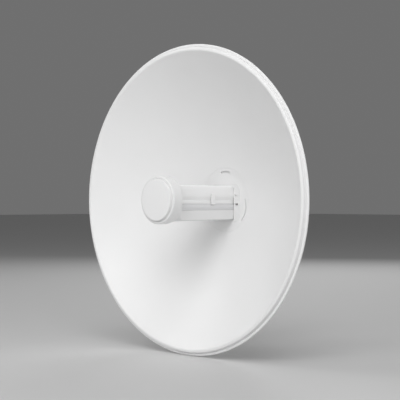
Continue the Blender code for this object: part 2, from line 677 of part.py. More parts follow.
def make_tilt_bolts(steel):
    nut_face = TILT_EAR_X - STEEL - GAP
    nut_end = nut_face - M6_NUT
    for side, sign in (("left", -1), ("right", 1)):
        for kind, z in (("pivot", 0.0), ("lock", LOCK_RADIUS)):
            head = sign * (POLE_EAR_X + GAP)
            tip = sign * (nut_face - BOLT_PAST_NUT)
            make_flange_bolt(f"{kind}_bolt_{side}", steel, head, tip, (PIVOT_Y, z))
            steps = nut_steps(M6_FLAT, BOLT_RADIUS + GAP, sign * nut_face, sign * nut_end, M6_NUT_FLANGE)
            add_object(f"{kind}_nut_{side}", stack("x", steps, closed=True), steel, None, (0, PIVOT_Y, z))


def make_stud_nuts(steel, parent, place):
    """Each nut closes on the stud that is welded to the back of the dish."""
    bearing = RING_BACK_Y + GAP + STEEL + GAP
    end = bearing + M6_NUT
    names = ("upper_left", "upper_right", "lower_left", "lower_right")
    for name, (x, z) in zip(names, stud_places()):
        steps = [(disc(BOLT_RADIUS), bearing - STEEL - GAP + 0.1 * MM)]
        steps += nut_steps(M6_FLAT, BOLT_RADIUS, bearing, end, M6_NUT_FLANGE)
        steps += [(disc(BOLT_RADIUS), bearing + STUD_TIP)]
        nut = add_object(f"stud_nut_{name}", stack("y", steps), steel, parent)
        nut.location = Vector(place) + Vector((x, 0, z))


def make_clamp(steel):
    """The rear clamp: a plate with two toothed flanges, and the two long bolts that pull it on."""
    plate = rounded_box(
        -CLAMP_HALF_WIDTH, CLAMP_HALF_WIDTH, -CLAMP_HALF_HEIGHT, CLAMP_HALF_HEIGHT, CLAMP_CORNER
    )
    clamp = add_object("pole_clamp", prism_y(plate, CLAMP_PLATE_Y, CLAMP_PLATE_Y + STEEL), steel)
    side_y = NOTCH_APEX_Y - NOTCH_HALF_WIDTH * NOTCH_SLOPE
    half = [(CLAMP_HALF_WIDTH - 6 * MM, CLAMP_PLATE_Y + 1 * MM), (CLAMP_HALF_WIDTH - 8 * MM, side_y + 6 * MM)]
    half += [(NOTCH_HALF_WIDTH + 4 * MM, side_y)]
    pitch = NOTCH_HALF_WIDTH / TEETH
    for i in range(TEETH):
        tip = NOTCH_HALF_WIDTH - i * pitch
        gullet = tip - pitch / 2
        half.append((tip, NOTCH_APEX_Y - tip * NOTCH_SLOPE))
        half.append((gullet, NOTCH_APEX_Y - gullet * NOTCH_SLOPE + TOOTH))
    outline = half + [(-x, y) for x, y in reversed(half)]
    flanges = []
    for name, low in zip(("upper", "lower"), CLAMP_FLANGE_LOWS):
        flanges.append(add_object(f"clamp_flange_{name}", prism_z(outline, low, low + STEEL)))
    cut(clamp, flanges, "UNION")
    radius = CLAMP_BOLT_RADIUS + GAP
    holes = []
    for side, sign in (("left", -1), ("right", 1)):
        x = sign * CLAMP_BOLT_X
        holes.append(cylinder_y(f"clamp_hole_{side}", x, 0, radius, CLAMP_PLATE_Y - 10 * MM, BOLT_END_Y))
    cut(clamp, holes)


def make_clamp_bolts(steel):
    """Carriage bolts: a domed head and a square neck in the web, and a nut behind the clamp."""
    head = -WEB - GAP
    nut_face = CLAMP_PLATE_Y + STEEL + GAP
    bolt_steps = [
        (disc(3 * MM), head - 4.6 * MM),
        (disc(6.5 * MM), head - 3.4 * MM),
        (disc(8.5 * MM), head - 1 * MM),
        (disc(8.5 * MM), head),
        (square(CLAMP_BOLT_RADIUS), head),
        (square(CLAMP_BOLT_RADIUS), head + 4.5 * MM),
        (disc(CLAMP_BOLT_RADIUS), head + 4.7 * MM),
        (disc(CLAMP_BOLT_RADIUS), BOLT_END_Y - 0.8 * MM),
        (disc(CLAMP_BOLT_RADIUS - 0.8 * MM), BOLT_END_Y),
    ]
    bore = CLAMP_BOLT_RADIUS + GAP
    steps = nut_steps(M8_FLAT, bore, nut_face, nut_face + M8_NUT, M8_NUT_FLANGE)
    for side, sign in (("left", -1), ("right", 1)):
        place = (sign * CLAMP_BOLT_X, 0, 0)
        add_object(f"clamp_bolt_{side}", stack("y", bolt_steps), steel, None, place)
        add_object(f"clamp_nut_{side}", stack("y", steps, closed=True), steel, None, place)


def main():
    clear_scene()
    paint = material("white_paint", (0.86, 0.86, 0.86), 0.5, 0.0)
    plastic = material("white_plastic", (0.85, 0.85, 0.85), 0.45, 0.0)
    inner_plastic = material("inner_plastic", (0.8, 0.8, 0.81), 0.5, 0.0)
    steel = material("coated_steel", (0.78, 0.78, 0.78), 0.45, 0.2)
    zinc = material("zinc_steel", (0.62, 0.62, 0.60), 0.35, 0.9)
    socket_metal = material("socket_metal", (0.6, 0.6, 0.6), 0.3, 0.9)

    tilt_axis = axis_empty("tilt_axis", (0, PIVOT_Y, 0))
    vertex = (0, VERTEX_Y - PIVOT_Y, 0)
    make_dish(paint, tilt_axis, vertex)
    make_hub(plastic, tilt_axis, vertex)
    make_feed_tube(plastic, inner_plastic, tilt_axis, vertex)
    make_root_flange(plastic, tilt_axis, vertex)
    make_collar_and_cap(plastic, tilt_axis, vertex)
    make_housing(plastic, socket_metal, tilt_axis, vertex)
    make_tilt_bracket(steel, tilt_axis, vertex)
    make_stud_nuts(zinc, tilt_axis, vertex)
    make_pole_bracket(steel)
    make_tilt_bolts(zinc)
    make_clamp(steel)
    make_clamp_bolts(zinc)


main()
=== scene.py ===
"""Looks of the dish antenna: a finely turned dish, its feed, hub, housing and mount, over the CAD frame.

Metres, +Z up. The dish looks along -Y. Sizes are in millimetres times MM. A depth runs along Y from the
deepest point of the dish: it is negative in front of the dish and positive behind it.
"""

import json
import math

import bmesh
import bpy
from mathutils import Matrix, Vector


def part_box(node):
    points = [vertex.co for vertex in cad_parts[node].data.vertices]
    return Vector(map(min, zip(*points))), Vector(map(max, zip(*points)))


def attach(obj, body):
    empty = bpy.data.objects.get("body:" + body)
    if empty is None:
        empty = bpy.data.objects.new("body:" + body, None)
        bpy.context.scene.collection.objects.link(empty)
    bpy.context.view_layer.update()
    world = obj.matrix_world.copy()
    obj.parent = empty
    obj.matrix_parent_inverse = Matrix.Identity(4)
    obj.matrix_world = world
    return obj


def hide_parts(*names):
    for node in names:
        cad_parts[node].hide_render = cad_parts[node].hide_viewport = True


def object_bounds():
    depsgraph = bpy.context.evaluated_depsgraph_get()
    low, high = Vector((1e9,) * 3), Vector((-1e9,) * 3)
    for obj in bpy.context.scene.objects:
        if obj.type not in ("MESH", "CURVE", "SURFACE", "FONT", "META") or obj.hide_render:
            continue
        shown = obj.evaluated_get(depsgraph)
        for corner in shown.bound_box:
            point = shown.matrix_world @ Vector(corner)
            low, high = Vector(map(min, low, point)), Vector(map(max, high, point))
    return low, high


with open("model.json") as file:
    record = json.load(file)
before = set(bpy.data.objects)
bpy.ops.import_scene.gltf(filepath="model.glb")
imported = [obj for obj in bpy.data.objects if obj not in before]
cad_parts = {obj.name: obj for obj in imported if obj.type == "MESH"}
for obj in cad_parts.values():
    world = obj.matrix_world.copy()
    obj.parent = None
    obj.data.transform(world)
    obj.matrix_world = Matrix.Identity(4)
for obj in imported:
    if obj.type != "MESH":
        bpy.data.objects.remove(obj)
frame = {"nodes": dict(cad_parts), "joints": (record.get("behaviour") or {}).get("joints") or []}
cad_low, cad_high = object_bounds()

MM = 0.001
HEAD = "dish_head"
MOUNT = "pole_mount"
SIDES = (("left", -1), ("right", 1))
GAP = 0.3 * MM  # between pieces that touch
SHARP_EDGE = 35  # degrees, from which an edge is rounded

# The dish.
DISH_LOW, DISH_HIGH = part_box("dish_reflector")
RIM_RADIUS = DISH_HIGH.x
RIM_PLANE = 75.6 * MM
CREST_HEIGHT = 5.65 * MM  # of the lip, in front of the rim plane
VERTEX_Y = DISH_LOW.y + RIM_PLANE + CREST_HEIGHT
FOCAL_LENGTH = 124.6 * MM
SHEET = 1.2 * MM
HUB_HOLE_RADIUS = 45.5 * MM
LIP_START_RADIUS = 200.3 * MM
ROLL_RADIUS = 3.2 * MM
LIP_SLOPE = 18  # degrees, of the lip's nearly flat middle
SHOULDER = (203.8 * MM, 3.7 * MM)  # radius and height of its middle
SHOULDER_RADIUS = 1.7 * MM
WALL_RADIUS = 206.3 * MM  # of the wall outside the lip
# In mm, how far outside the wall and how high: the crease by the wall's foot, and the sheet's underside.
CREASE = [(-0.4, 2.7), (-0.1, 2.0), (0, 0.6), (0.25, 0.6), (0.4, 1.3), (1, 1.25)]
UNDERSIDE = [(2.5, -1.4), (-0.5, -0.9), (-1.6, 2.2)]
CREASE_ROUNDING = 0.1 * MM
BEAD_RADIUS = 1.4 * MM
BEAD_HEIGHT = -0.1 * MM  # of the bead's middle, in front of the rim plane
BEAD_ENDS = (105, -35)  # degrees
DISH_STEPS = 288

# The hub plate and the ring behind the dish.
PLATE_FLAT_RADIUS = 32 * MM  # outside this, the plate bends forward to meet the bowl
PLATE_FLAT_DEPTH = -3 * MM
PLATE_BACK_DEPTH = 1 * MM
SEAM = 0.08 * MM
LOW_SIDE_HOLE = (-7.4 * MM, -4.6 * MM)  # foot and top of the holes beside the tube
HIGH_SIDE_HOLE = (4.9 * MM, 7.2 * MM)
HIGH_HOLE_DEPTH = 1.2 * MM
SIDE_HOLE_X = (18.8 * MM, 24 * MM)
TOP_SLOT_RADIUS = 39.3 * MM
TOP_SLOT_WIDTH = 2.8 * MM
TOP_SLOT_ENDS = (79, 101)  # degrees
TOP_SLOT_DEPTH = 2.8 * MM
SIDE_SLOT_CENTRE = (14.4 * MM, -9 * MM)  # the hooked slots beside the tube bend about this point
SIDE_SLOT_RADIUS = 25 * MM
SIDE_SLOT_WIDTH = 1.8 * MM
SIDE_SLOT_ENDS = (-48, 24)  # degrees
SIDE_SLOT_DEPTH = 1.3 * MM
SLOT_FACE_RADIUS = 40 * MM  # the slots' depths are measured from the bowl at this radius
HUB_CUT = 12 * MM  # how far the hub's cutters reach, both ways from the dish's deepest point
RING_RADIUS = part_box("hub_ring")[1].x
RING_BORE_RADIUS = 36 * MM
RING_BACK_DEPTH = 9 * MM
RING_TURN_STEPS = 192
RING_POCKETS = 20
POCKET_RADII = (56 * MM, 68.5 * MM)
POCKET_HALF_ANGLE = 7  # degrees
POCKET_FLOOR = 2 * MM

# The feed tube. Its section is given at the front end, and shrinks towards the dish.
TUBE_LOW, TUBE_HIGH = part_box("feed_upper_shell")
TUBE_FRONT = TUBE_LOW.y - VERTEX_Y
TUBE_BACK = TUBE_HIGH.y - VERTEX_Y
TUBE_DRAFT = 0.97  # size of the section at the dish's deepest point, against 1 at the front
TUBE_CENTRE_Z = -4 * MM
TUBE_HALF_WIDTH = 17 * MM
TUBE_HALF_HEIGHT = 24.1 * MM
CORE_HALF_WIDTH = 14 * MM
CORE_HALF_HEIGHT = 21 * MM
TOP_CORNER = 5 * MM  # of the hole for the tube
FOOT_CORNER = 2.2 * MM
HOLE_ROOM = 0.04 * MM  # round the tube
SLIT = 0.5 * MM  # under the tube
CHANNEL_TOP = -4.9 * MM
CHANNEL_BOTTOM = -13.8 * MM
FLOOR_X = 15.4 * MM
RAIL_X = 16.4 * MM
RAIL_HIGH = -7 * MM
RAIL_LOW = -10.9 * MM
LEDGE_X = 16.1 * MM  # of the rail's lower edge, which is set back
LEDGE_LOW = -13.5 * MM
# In mm, how far inside the tube's side and how high: the lip over the channel, the sloped band, the side.
UPPER_SIDE = [(1.1, -1.3), (1.6, -0.8), (0.5, 3.9), (0.1, 5.2), (0.1, 9.6)]
UPPER_LIP_INSET = 1.3 * MM
UPPER_CORNER = 3.4 * MM
UPPER_CORNER_INSET = 1.4 * MM
UPPER_LEAN = 9  # degrees
FOOT_INSET = 0.9 * MM
FOOT_LEAN = 4  # degrees
CLIP_FRONT = -49.5 * MM
CLIP_BACK = -42 * MM
CLIP_SEAT_X = 17.3 * MM
CLIP_X = 18.2 * MM
CLIP_TOP = 9 * MM
CLIP_STEP = -4 * MM  # below this, the clip reaches into the channel
CLIP_LOW = -6.4 * MM
CLIP_CHAMFER = 0.8 * MM
CLIP_TOP_CHAMFER = 0.5 * MM

# The thin frame on the hub, round the tube.
ROOT_HALF_WIDTH = 27 * MM
ROOT_TOP = 22.5 * MM
ROOT_BOTTOM = -30.5 * MM
ROOT_CORNER = 8 * MM
ROOT_THICKNESS = 0.6 * MM
ROOT_GAP = 0.06 * MM  # between the frame and the plate

# The collar and the cap.
COLLAR_RADIUS = 32 * MM
COLLAR_FRONT = -133.4 * MM
COLLAR_ROLL = 1.6 * MM  # radius of its rolled front edge
COLLAR_FACE_DROP = 0.2 * MM  # of the front face, from the rolled edge to the cap
DRUM_FRONT = -129 * MM  # a ring here keeps the shading of the drum's wall even
DRUM_BACK = -118.4 * MM  # the flare meets the drum here
DRUM_BACK_RADIUS = COLLAR_RADIUS - 0.2 * MM
DRUM_BULGE = 20 * MM  # radius of the curve from there into the drum's wall, seen from the side
BULGE_LENGTH = 3 * MM
BULGE_ANGLE = 8  # degrees
FLARE_ROWS = 24
FLARE_POWER = 1.25
CAP_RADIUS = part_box("feed_cap")[1].x
CAP_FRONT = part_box("feed_cap")[0].y - VERTEX_Y
CAP_SEAT = -131 * MM
CAP_SPREAD = 0.24 * MM  # how far the cap fills the gap that the solids keep round it
CAP_GROOVE = 0.4 * MM  # from the solid cap's side to the collar's bore
CAP_DOME = 0.2 * MM
CAP_CHAMFER = (1.3 * MM, 2.6 * MM)  # width on the face, and depth on the side
COLLAR_POWER = 8  # of the superellipse at the flare's rear end
COLLAR_WIDE = 17.7 * MM  # half axes of the flare's rear end
COLLAR_TALL = 24.4 * MM
COLLAR_STEPS = 120

# The housing.
HOUSING_LOW, HOUSING_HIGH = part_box("rear_housing")
BAY_HALF_WIDTH = 13 * MM
BAY_TOP = -16 * MM
BAY_FRONT = 24 * MM
HOUSING_CORNER = 9 * MM
HOUSING_BEVEL = 4 * MM
HOUSING_JOINT = 30 * MM  # depth of the line where its two halves meet
JOINT_GROOVE = 0.4 * MM
LID_CORNER = 1.6 * MM
THUMB_GROOVES = 6
THUMB_PITCH = 1.8 * MM
THUMB_LOW = 3.5 * MM
THUMB_HALF = (8 * MM, 0.45 * MM)
THUMB_DEPTH = 0.6 * MM
PORT_HALF = (5.9 * MM, 4.3 * MM)
LATCH_HALF_WIDTH = 3.2 * MM
LATCH_HEIGHT = 1.5 * MM
INSERT_WALL = 0.4 * MM
CONTACTS = 8
CONTACT_PITCH = 1.02 * MM
CONTACT_HALF = 0.2 * MM
# In mm, how far from the insert's front wall and from the roof.
CONTACT_WIRE = [(0, -1.2), (0.3, -1.2), (2.6, -6.8), (2.9, -8.2), (2.5, -8.2), (2.2, -7)]

# The brackets, in the part's own frame.
PIVOT = Vector(frame["joints"][0]["pos_m"])
TILT_LIMIT = frame["joints"][0]["range_deg"][1]
STEEL = 2.5 * MM
WEB = 3 * MM
BEND = 4 * MM
TILT_EAR_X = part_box("tilt_bracket")[1].x
POLE_EAR_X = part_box("pole_bracket")[1].x
EAR_LENGTH = 40 * MM  # of the blanks, past the pivot
EAR_NOSE = 13 * MM  # radius of both ears round the pivot
LOCK_NOSE = 11 * MM  # radius of the pole bracket's ear round the lock bolt
EAR_FLAT = 6 * MM  # of the tilt bracket's ear, in front of the pivot
EAR_WALL = 5 * MM
LOCK_RADIUS = 22 * MM
SLOT_HALF = 3.4 * MM
SHOULDER_Z = 28 * MM  # of the corner in the ear's upper edge
TILT_EAR_ROOTS = (-24 * MM, 40 * MM)  # the heights where an ear's edges leave the plate
POLE_EAR_ROOTS = (-26 * MM, 38 * MM)
TILT_WIDE_ENDS = (-22 * MM, 38 * MM)  # the heights between which the plate is as wide as the ears
TILT_SLOPE = 12 * MM  # height of the change from wide to narrow
TILT_NARROW_X = 42 * MM
PLATE_BEVEL = 5 * MM
HOUSING_ROOM = 1.5 * MM  # round the housing, in the tilt bracket's opening
CUT_X = 60 * MM  # how far the brackets' cutters reach to the sides
TEETH = 8  # on each side of the apex
TOOTH = 1.5 * MM
NOTCH_HALF_WIDTH = 22 * MM
NOTCH_SLOPE = 30  # degrees
NOTCH_APEX_Y = 41 * MM
CLAMP_FLANGE_LOWS = (13.5 * MM, -16 * MM)

# Nuts and bolts.
BOLT_RADIUS = 3 * MM
M6_PITCH = 1 * MM
M6_FLAT = 5 * MM  # half the width across the flats
M6_FLANGE = 6.8 * MM
M6_HEAD = 5.6 * MM
BOLT_PAST_NUT = 8 * MM  # from the nut's bearing face to the bolt's tip
M6_NUT = 6 * MM
M6_NUT_FLANGE = 6.5 * MM
CLAMP_BOLT_X = 29 * MM
CLAMP_BOLT_RADIUS = 4 * MM
M8_PITCH = 1.25 * MM
M8_FLAT = 6.5 * MM
M8_HEAD_RADIUS = 8.5 * MM
M8_HEAD = 4.6 * MM
M8_NECK = 4.5 * MM
M8_THREAD_START = 20 * MM
M8_NUT = 7.5 * MM
M8_NUT_FLANGE = 8.8 * MM
FLANGE_HEIGHT = 1 * MM
BOLT_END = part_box("clamp_bolt_left")[1].y
RING_STEPS = 48  # points round a nut, a bolt or a bolt's hole
STUD_X = 34 * MM
STUD_ROWS = (("upper", 54 * MM), ("lower", -54 * MM))
STUDS = {f"{row}_{side}": (sign * STUD_X, z) for row, z in STUD_ROWS for side, sign in SIDES}

# The camera: angles in degrees, lens and sensor in mm. It aims a little to the right of the rim's centre.
CAMERA_YAW = 45.5
CAMERA_AIM = 0.594
CAMERA_DISTANCE = 1500 * MM
CAMERA_LENS = 99.8
CAMERA_SENSOR = 36

# Lights: name, angle round from the dish's front towards +X, angle up, and power.
LIGHTS = [
    ("front_right", 15, 33, 9.45),
    ("right", 45, 33, 11.0),
    ("upper_right", 45, 58, 8.25),
    ("upper_left", -45, 58, 5.1),
    ("left", -75, 33, 4.15),
    ("low_front", 15, 8, 3.7),
    ("low_left", -15, 8, 2.95),
    ("far_right", 75, 8, 3.9),
    ("behind_left", 215, 25, 10),
]
LIGHT_DISTANCE = 2.2
LIGHT_SIZE = 1.0
SKY_STRENGTH = 0.16
FLOOR_HALF = 12
FLOOR_THICKNESS = 0.02
FLOOR_WHITE = 0.6


# Shapes


def depth(distance):
    """The place along Y of a depth."""
    return VERTEX_Y + distance


def spaced(start, end, count):
    return [start + (end - start) * i / (count - 1) for i in range(count)]


def arc(centre, radius, start, end, steps):
    """Points on an arc, from one angle to the other, in degrees."""
    angles = [math.radians(a) for a in spaced(start, end, steps + 1)]
    return [(centre[0] + radius * math.cos(a), centre[1] + radius * math.sin(a)) for a in angles]


def rounded_box(left, right, low, high, radius, steps=8):
    """A rectangle with round corners, counter-clockwise."""
    points = arc((right - radius, low + radius), radius, -90, 0, steps)
    points += arc((right - radius, high - radius), radius, 0, 90, steps)
    points += arc((left + radius, high - radius), radius, 90, 180, steps)
    points += arc((left + radius, low + radius), radius, 180, 270, steps)
    return points


def softened(outline, radius, steps=3, closed=True):
    """An outline with each clear corner rounded, as far as its sides allow."""
    points = []
    count = len(outline)
    for i, corner in enumerate(outline):
        here = Vector(corner)
        back = Vector(outline[i - 1]) - here
        ahead = Vector(outline[(i + 1) % count]) - here
        turn = math.pi - back.angle(ahead, math.pi)
        at_end = not closed and i in (0, count - 1)
        if at_end or turn < math.radians(20):
            points.append(corner)
            continue
        reach = min(radius * math.tan(turn / 2), 0.45 * back.length, 0.45 * ahead.length)
        start = here + back.normalized() * reach
        end = here + ahead.normalized() * reach
        for step in range(steps + 1):
            t = step / steps
            point = start * (1 - t) ** 2 + here * (2 * t * (1 - t)) + end * t**2
            points.append((point.x, point.y))
    return points


def mirrored(half):
    """A symmetric outline from its right half."""
    return half + [(-x, z) for x, z in reversed(half)]


def loft(rings, closed=False):
    """A skin over rings of equally many points. It is capped at both ends, or joined up when closed."""
    bm = bmesh.new()
    rows = [[bm.verts.new(point) for point in ring] for ring in rings]
    pairs = list(zip(rows, rows[1:]))
    if closed:
        pairs.append((rows[-1], rows[0]))
    else:
        bm.faces.new(rows[0])
        bm.faces.new(rows[-1])
    for near, far in pairs:
        for i, corner in enumerate(near):
            following = (i + 1) % len(near)
            bm.faces.new((corner, near[following], far[following], far[i]))
    return bm


def turned(profile, steps):
    """An outline of (radius, depth) points spun about the dish axis."""
    bm = bmesh.new()
    columns = []
    for i in range(steps):
        angle = math.tau * i / steps
        cosine, sine = math.cos(angle), math.sin(angle)
        columns.append([(r * cosine, depth(d), r * sine) for r, d in profile])
    tips = {}
    for index, (radius, distance) in enumerate(profile):
        if radius == 0:
            tips[index] = bm.verts.new((0, depth(distance), 0))
    grid = [[tips.get(k) or bm.verts.new(p) for k, p in enumerate(column)] for column in columns]
    wrap = profile[0][0] > 0 or profile[-1][0] > 0
    last = len(profile) if wrap else len(profile) - 1
    for i, near in enumerate(grid):
        far = grid[(i + 1) % steps]
        for k in range(last):
            following = (k + 1) % len(profile)
            corners = [near[k], near[following], far[following], far[k]]
            distinct = list(dict.fromkeys(corners))
            if len(distinct) > 2:
                bm.faces.new(distinct)
    return bm


def prism_y(outline, start, end):
    return loft([[(x, y, z) for x, z in outline] for y in (start, end)])


def prism_x(outline, start, end):
    return loft([[(x, y, z) for y, z in outline] for x in (start, end)])


def prism_z(outline, start, end):
    return loft([[(x, y, z) for x, y in outline] for z in (start, end)])


def slot_outline(centre, radius, width, start, end, steps=24, end_steps=8):
    """An arc-shaped slot with round ends, between two angles in degrees."""
    first, last = arc(centre, radius, start, end, 1)
    points = arc(centre, radius + width / 2, start, end, steps)
    points += arc(last, width / 2, end, end + 180, end_steps)[1:-1]
    points += arc(centre, radius - width / 2, end, start, steps)
    points += arc(first, width / 2, start + 180, start + 360, end_steps)[1:-1]
    return points


def channel(outer_x, web_near, web_far, ear_end, thickness, bend):
    """A U-shaped sheet seen from above: a web along X, and two ears that run to ear_end along Y."""
    direction = 1 if ear_end > web_near else -1
    right = []
    for x, y in arc((0, 0), 1, -90, 0, 8):
        right.append((outer_x - bend + bend * x, web_near + direction * (bend + bend * y)))
    right.append((outer_x, ear_end))
    right.append((outer_x - thickness, ear_end))
    inner = bend - thickness
    for x, y in arc((0, 0), 1, 0, -90, 8):
        right.append((outer_x - bend + inner * x, web_far + direction * (inner + inner * y)))
    return mirrored(right)


# Objects


def mesh_object(name, bm):
    bmesh.ops.recalc_face_normals(bm, faces=bm.faces)
    mesh = bpy.data.meshes.new(name)
    bm.to_mesh(mesh)
    bm.free()
    obj = bpy.data.objects.new(name, mesh)
    bpy.context.scene.collection.objects.link(obj)
    return obj


def bake(obj):
    """Makes the modifiers' result the object's own mesh."""
    graph = bpy.context.evaluated_depsgraph_get()
    mesh = bpy.data.meshes.new_from_object(obj.evaluated_get(graph))
    obj.modifiers.clear()
    obj.data = mesh


def as_cutter(bm):
    return mesh_object("cutter", bm)


def carve(obj, cutters, operation="DIFFERENCE"):
    """Cuts, joins or intersects an object with the cutters, which are then deleted."""
    for cutter in cutters:
        modifier = obj.modifiers.new("carve", "BOOLEAN")
        modifier.operation = operation
        modifier.object = cutter
        modifier.solver = "EXACT"
    bpy.context.view_layer.update()
    bake(obj)
    for cutter in cutters:
        bpy.data.objects.remove(cutter)


def round_edges(obj, width, segments=2):
    """Rounds the sharp edges, and keeps the flat faces shaded flat."""
    modifier = obj.modifiers.new("edges", "BEVEL")
    modifier.width = width
    modifier.segments = segments
    modifier.limit_method = "ANGLE"
    modifier.angle_limit = math.radians(SHARP_EDGE)
    modifier.use_clamp_overlap = True
    keep_flats(obj)


def keep_flats(obj):
    """Shades the flat faces flat, so that only the rounded edges between them turn."""
    weighted = obj.modifiers.new("normals", "WEIGHTED_NORMAL")
    weighted.keep_sharp = True


def finish_piece(obj, look, body, replaces=(), sharp=30):
    """Gives a piece its material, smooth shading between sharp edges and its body."""
    obj.data.materials.clear()
    obj.data.materials.append(look)
    obj.data.shade_smooth()
    obj.data.set_sharp_from_angle(angle=math.radians(sharp))
    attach(obj, body)
    if replaces:
        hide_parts(*replaces)


# Materials


def texture_noise(nodes, links, source, scale, detail):
    noise = nodes.new("ShaderNodeTexNoise")
    noise.inputs["Scale"].default_value = scale
    noise.inputs["Detail"].default_value = detail
    links.new(source, noise.inputs["Vector"])
    return noise


def surface(name, colour, roughness, grain, lift, metallic=0.0, spread=0.05, tint=0.02):
    """A procedural finish: fine grain as bump, and slow changes of roughness and colour.

    grain is the grain's size in metres and lift its height. spread and tint say how much the roughness
    and the colour change.
    """
    look = bpy.data.materials.new(name)
    look.use_nodes = True
    nodes, links = look.node_tree.nodes, look.node_tree.links
    shader = nodes["Principled BSDF"]
    shader.inputs["Metallic"].default_value = metallic
    place = nodes.new("ShaderNodeTexCoord").outputs["Object"]

    slow = texture_noise(nodes, links, place, scale=14, detail=4)
    fine = texture_noise(nodes, links, place, scale=1 / grain, detail=3)
    colours = nodes.new("ShaderNodeValToRGB")
    darker = [c * (1 - tint) for c in colour]
    colours.color_ramp.elements[0].position = 0.3
    colours.color_ramp.elements[0].color = (*darker, 1)
    colours.color_ramp.elements[1].position = 0.7
    colours.color_ramp.elements[1].color = (*colour, 1)
    links.new(slow.outputs["Fac"], colours.inputs["Fac"])
    links.new(colours.outputs["Color"], shader.inputs["Base Color"])

    rough = nodes.new("ShaderNodeMapRange")
    rough.inputs["To Min"].default_value = roughness - spread
    rough.inputs["To Max"].default_value = roughness + spread
    links.new(slow.outputs["Fac"], rough.inputs["Value"])
    links.new(rough.outputs["Result"], shader.inputs["Roughness"])

    bump = nodes.new("ShaderNodeBump")
    bump.inputs["Strength"].default_value = 1
    bump.inputs["Distance"].default_value = lift
    links.new(fine.outputs["Fac"], bump.inputs["Height"])
    links.new(bump.outputs["Normal"], shader.inputs["Normal"])
    return look


def white_surface(name, white, roughness, grain, lift):
    return surface(name, (white, white, white), roughness, grain, lift, tint=0.012)


def make_looks():
    fine = (0.35 * MM, 0.006 * MM)
    coarse = (1.1 * MM, 0.012 * MM)
    return {
        "dish": white_surface("dish_powder_coat", 0.87, 0.48, *coarse),
        "plastic": white_surface("white_plastic", 0.86, 0.42, *fine),
        "cap": white_surface("cap_plastic", 0.895, 0.42, *fine),
        # painted shade: a darker white for the cap's chamfered edge
        "edge": white_surface("cap_edge_painted_shade", 0.78, 0.5, *fine),
        "collar": white_surface("collar_plastic", 0.84, 0.45, *fine),
        # painted shade: the upper shell's white, darkened on the lower shell because the light falls from
        # above
        "lower": white_surface("lower_shell_painted_shade", 0.79, 0.42, *fine),
        # painted shade: a grey for the rails and the channel floor, standing in for the shade in the
        # recessed channels
        "inner": surface("inner_plastic", (0.72, 0.72, 0.73), 0.5, 0.35 * MM, 0.008 * MM),
        "hub": white_surface("hub_plastic", 0.85, 0.48, *coarse),
        # painted shade: a darker white round the tube's root, where the tube shades the hub
        "frame": white_surface("root_frame_painted_shade", 0.81, 0.5, *fine),
        "bracket": surface("bracket_powder_coat", (0.74, 0.74, 0.74), 0.45, 0.9 * MM, 0.02 * MM, tint=0.04),
        "zinc": surface("zinc_plate", (0.66, 0.66, 0.64), 0.34, 0.6 * MM, 0.006 * MM, 0.95, 0.1, 0.12),
        "socket": surface("socket_plate", (0.62, 0.62, 0.62), 0.28, 0.5 * MM, 0.004 * MM, 0.95, 0.06, 0.06),
        "contact": surface("contact_gold", (0.78, 0.58, 0.28), 0.25, 0.4 * MM, 0.002 * MM, 1.0, 0.05, 0.05),
        "dark": surface("socket_insert", (0.03, 0.03, 0.032), 0.55, 0.4 * MM, 0.01 * MM),
    }


# Dish


def dish_front(radius):
    return -(radius**2) / (4 * FOCAL_LENGTH)


def dish_back(radius, clearance=0.0):
    slope = radius / (2 * FOCAL_LENGTH)
    return dish_front(radius) + (SHEET + clearance) * math.sqrt(1 + slope**2)


def make_dish(look):
    """One pressed sheet: the bowl, a rolled lip with its wall, a crease and a beaded outer edge."""
    lean = math.degrees(math.atan(LIP_START_RADIUS / (2 * FOCAL_LENGTH)))
    sine, cosine = math.sin(math.radians(lean)), math.cos(math.radians(lean))
    start_height = -dish_front(LIP_START_RADIUS) - RIM_PLANE
    roll = (LIP_START_RADIUS + ROLL_RADIUS * sine, start_height - ROLL_RADIUS * cosine)

    # Points as radius, and height in front of the rim plane.
    front = arc(roll, ROLL_RADIUS, 90 + lean, 90 - LIP_SLOPE, 10)[1:]
    front += arc(SHOULDER, SHOULDER_RADIUS, 90 - LIP_SLOPE, 0, 14)
    crease = [(WALL_RADIUS + out * MM, height * MM) for out, height in CREASE]
    bead = arc((RIM_RADIUS - BEAD_RADIUS, BEAD_HEIGHT), BEAD_RADIUS, *BEAD_ENDS, 20)
    under = [(WALL_RADIUS + out * MM, height * MM) for out, height in UNDERSIDE]
    under += arc(SHOULDER, SHOULDER_RADIUS - SHEET, 0, 90 - LIP_SLOPE, 10)
    under.append((roll[0] + 0.2 * MM, roll[1] + ROLL_RADIUS - SHEET))
    rim = front + softened(crease, CREASE_ROUNDING, closed=False) + bead + under
    profile = [(r, dish_front(r)) for r in spaced(HUB_HOLE_RADIUS, LIP_START_RADIUS, 60)]
    profile += [(r, -RIM_PLANE - height) for r, height in rim]
    back_start = LIP_START_RADIUS + SHEET * sine - 0.5 * MM
    profile += [(r, dish_back(r)) for r in spaced(back_start, HUB_HOLE_RADIUS, 50)]
    obj = mesh_object("dish", turned(profile, DISH_STEPS))
    finish_piece(obj, look, HEAD, ["dish_reflector"], sharp=40)


# Hub


def draft_at(distance):
    """How large the tube's section is at a depth."""
    return 1 + (TUBE_DRAFT - 1) * (1 - distance / TUBE_FRONT)


def tube_cutter(distance):
    """Cuts the tube's section at a depth, with a little room and a wider slit underneath."""
    size = draft_at(distance)
    half_width = TUBE_HALF_WIDTH * size + HOLE_ROOM
    top = TUBE_CENTRE_Z + TUBE_HALF_HEIGHT * size + HOLE_ROOM
    bottom = TUBE_CENTRE_Z - TUBE_HALF_HEIGHT * size - HOLE_ROOM - SLIT
    half = arc((half_width - FOOT_CORNER, bottom + FOOT_CORNER), FOOT_CORNER, -90, 0, 6)
    half += arc((half_width - TOP_CORNER, top - TOP_CORNER), TOP_CORNER, 0, 90, 16)
    return as_cutter(prism_y(mirrored(half), depth(-HUB_CUT), depth(HUB_CUT)))


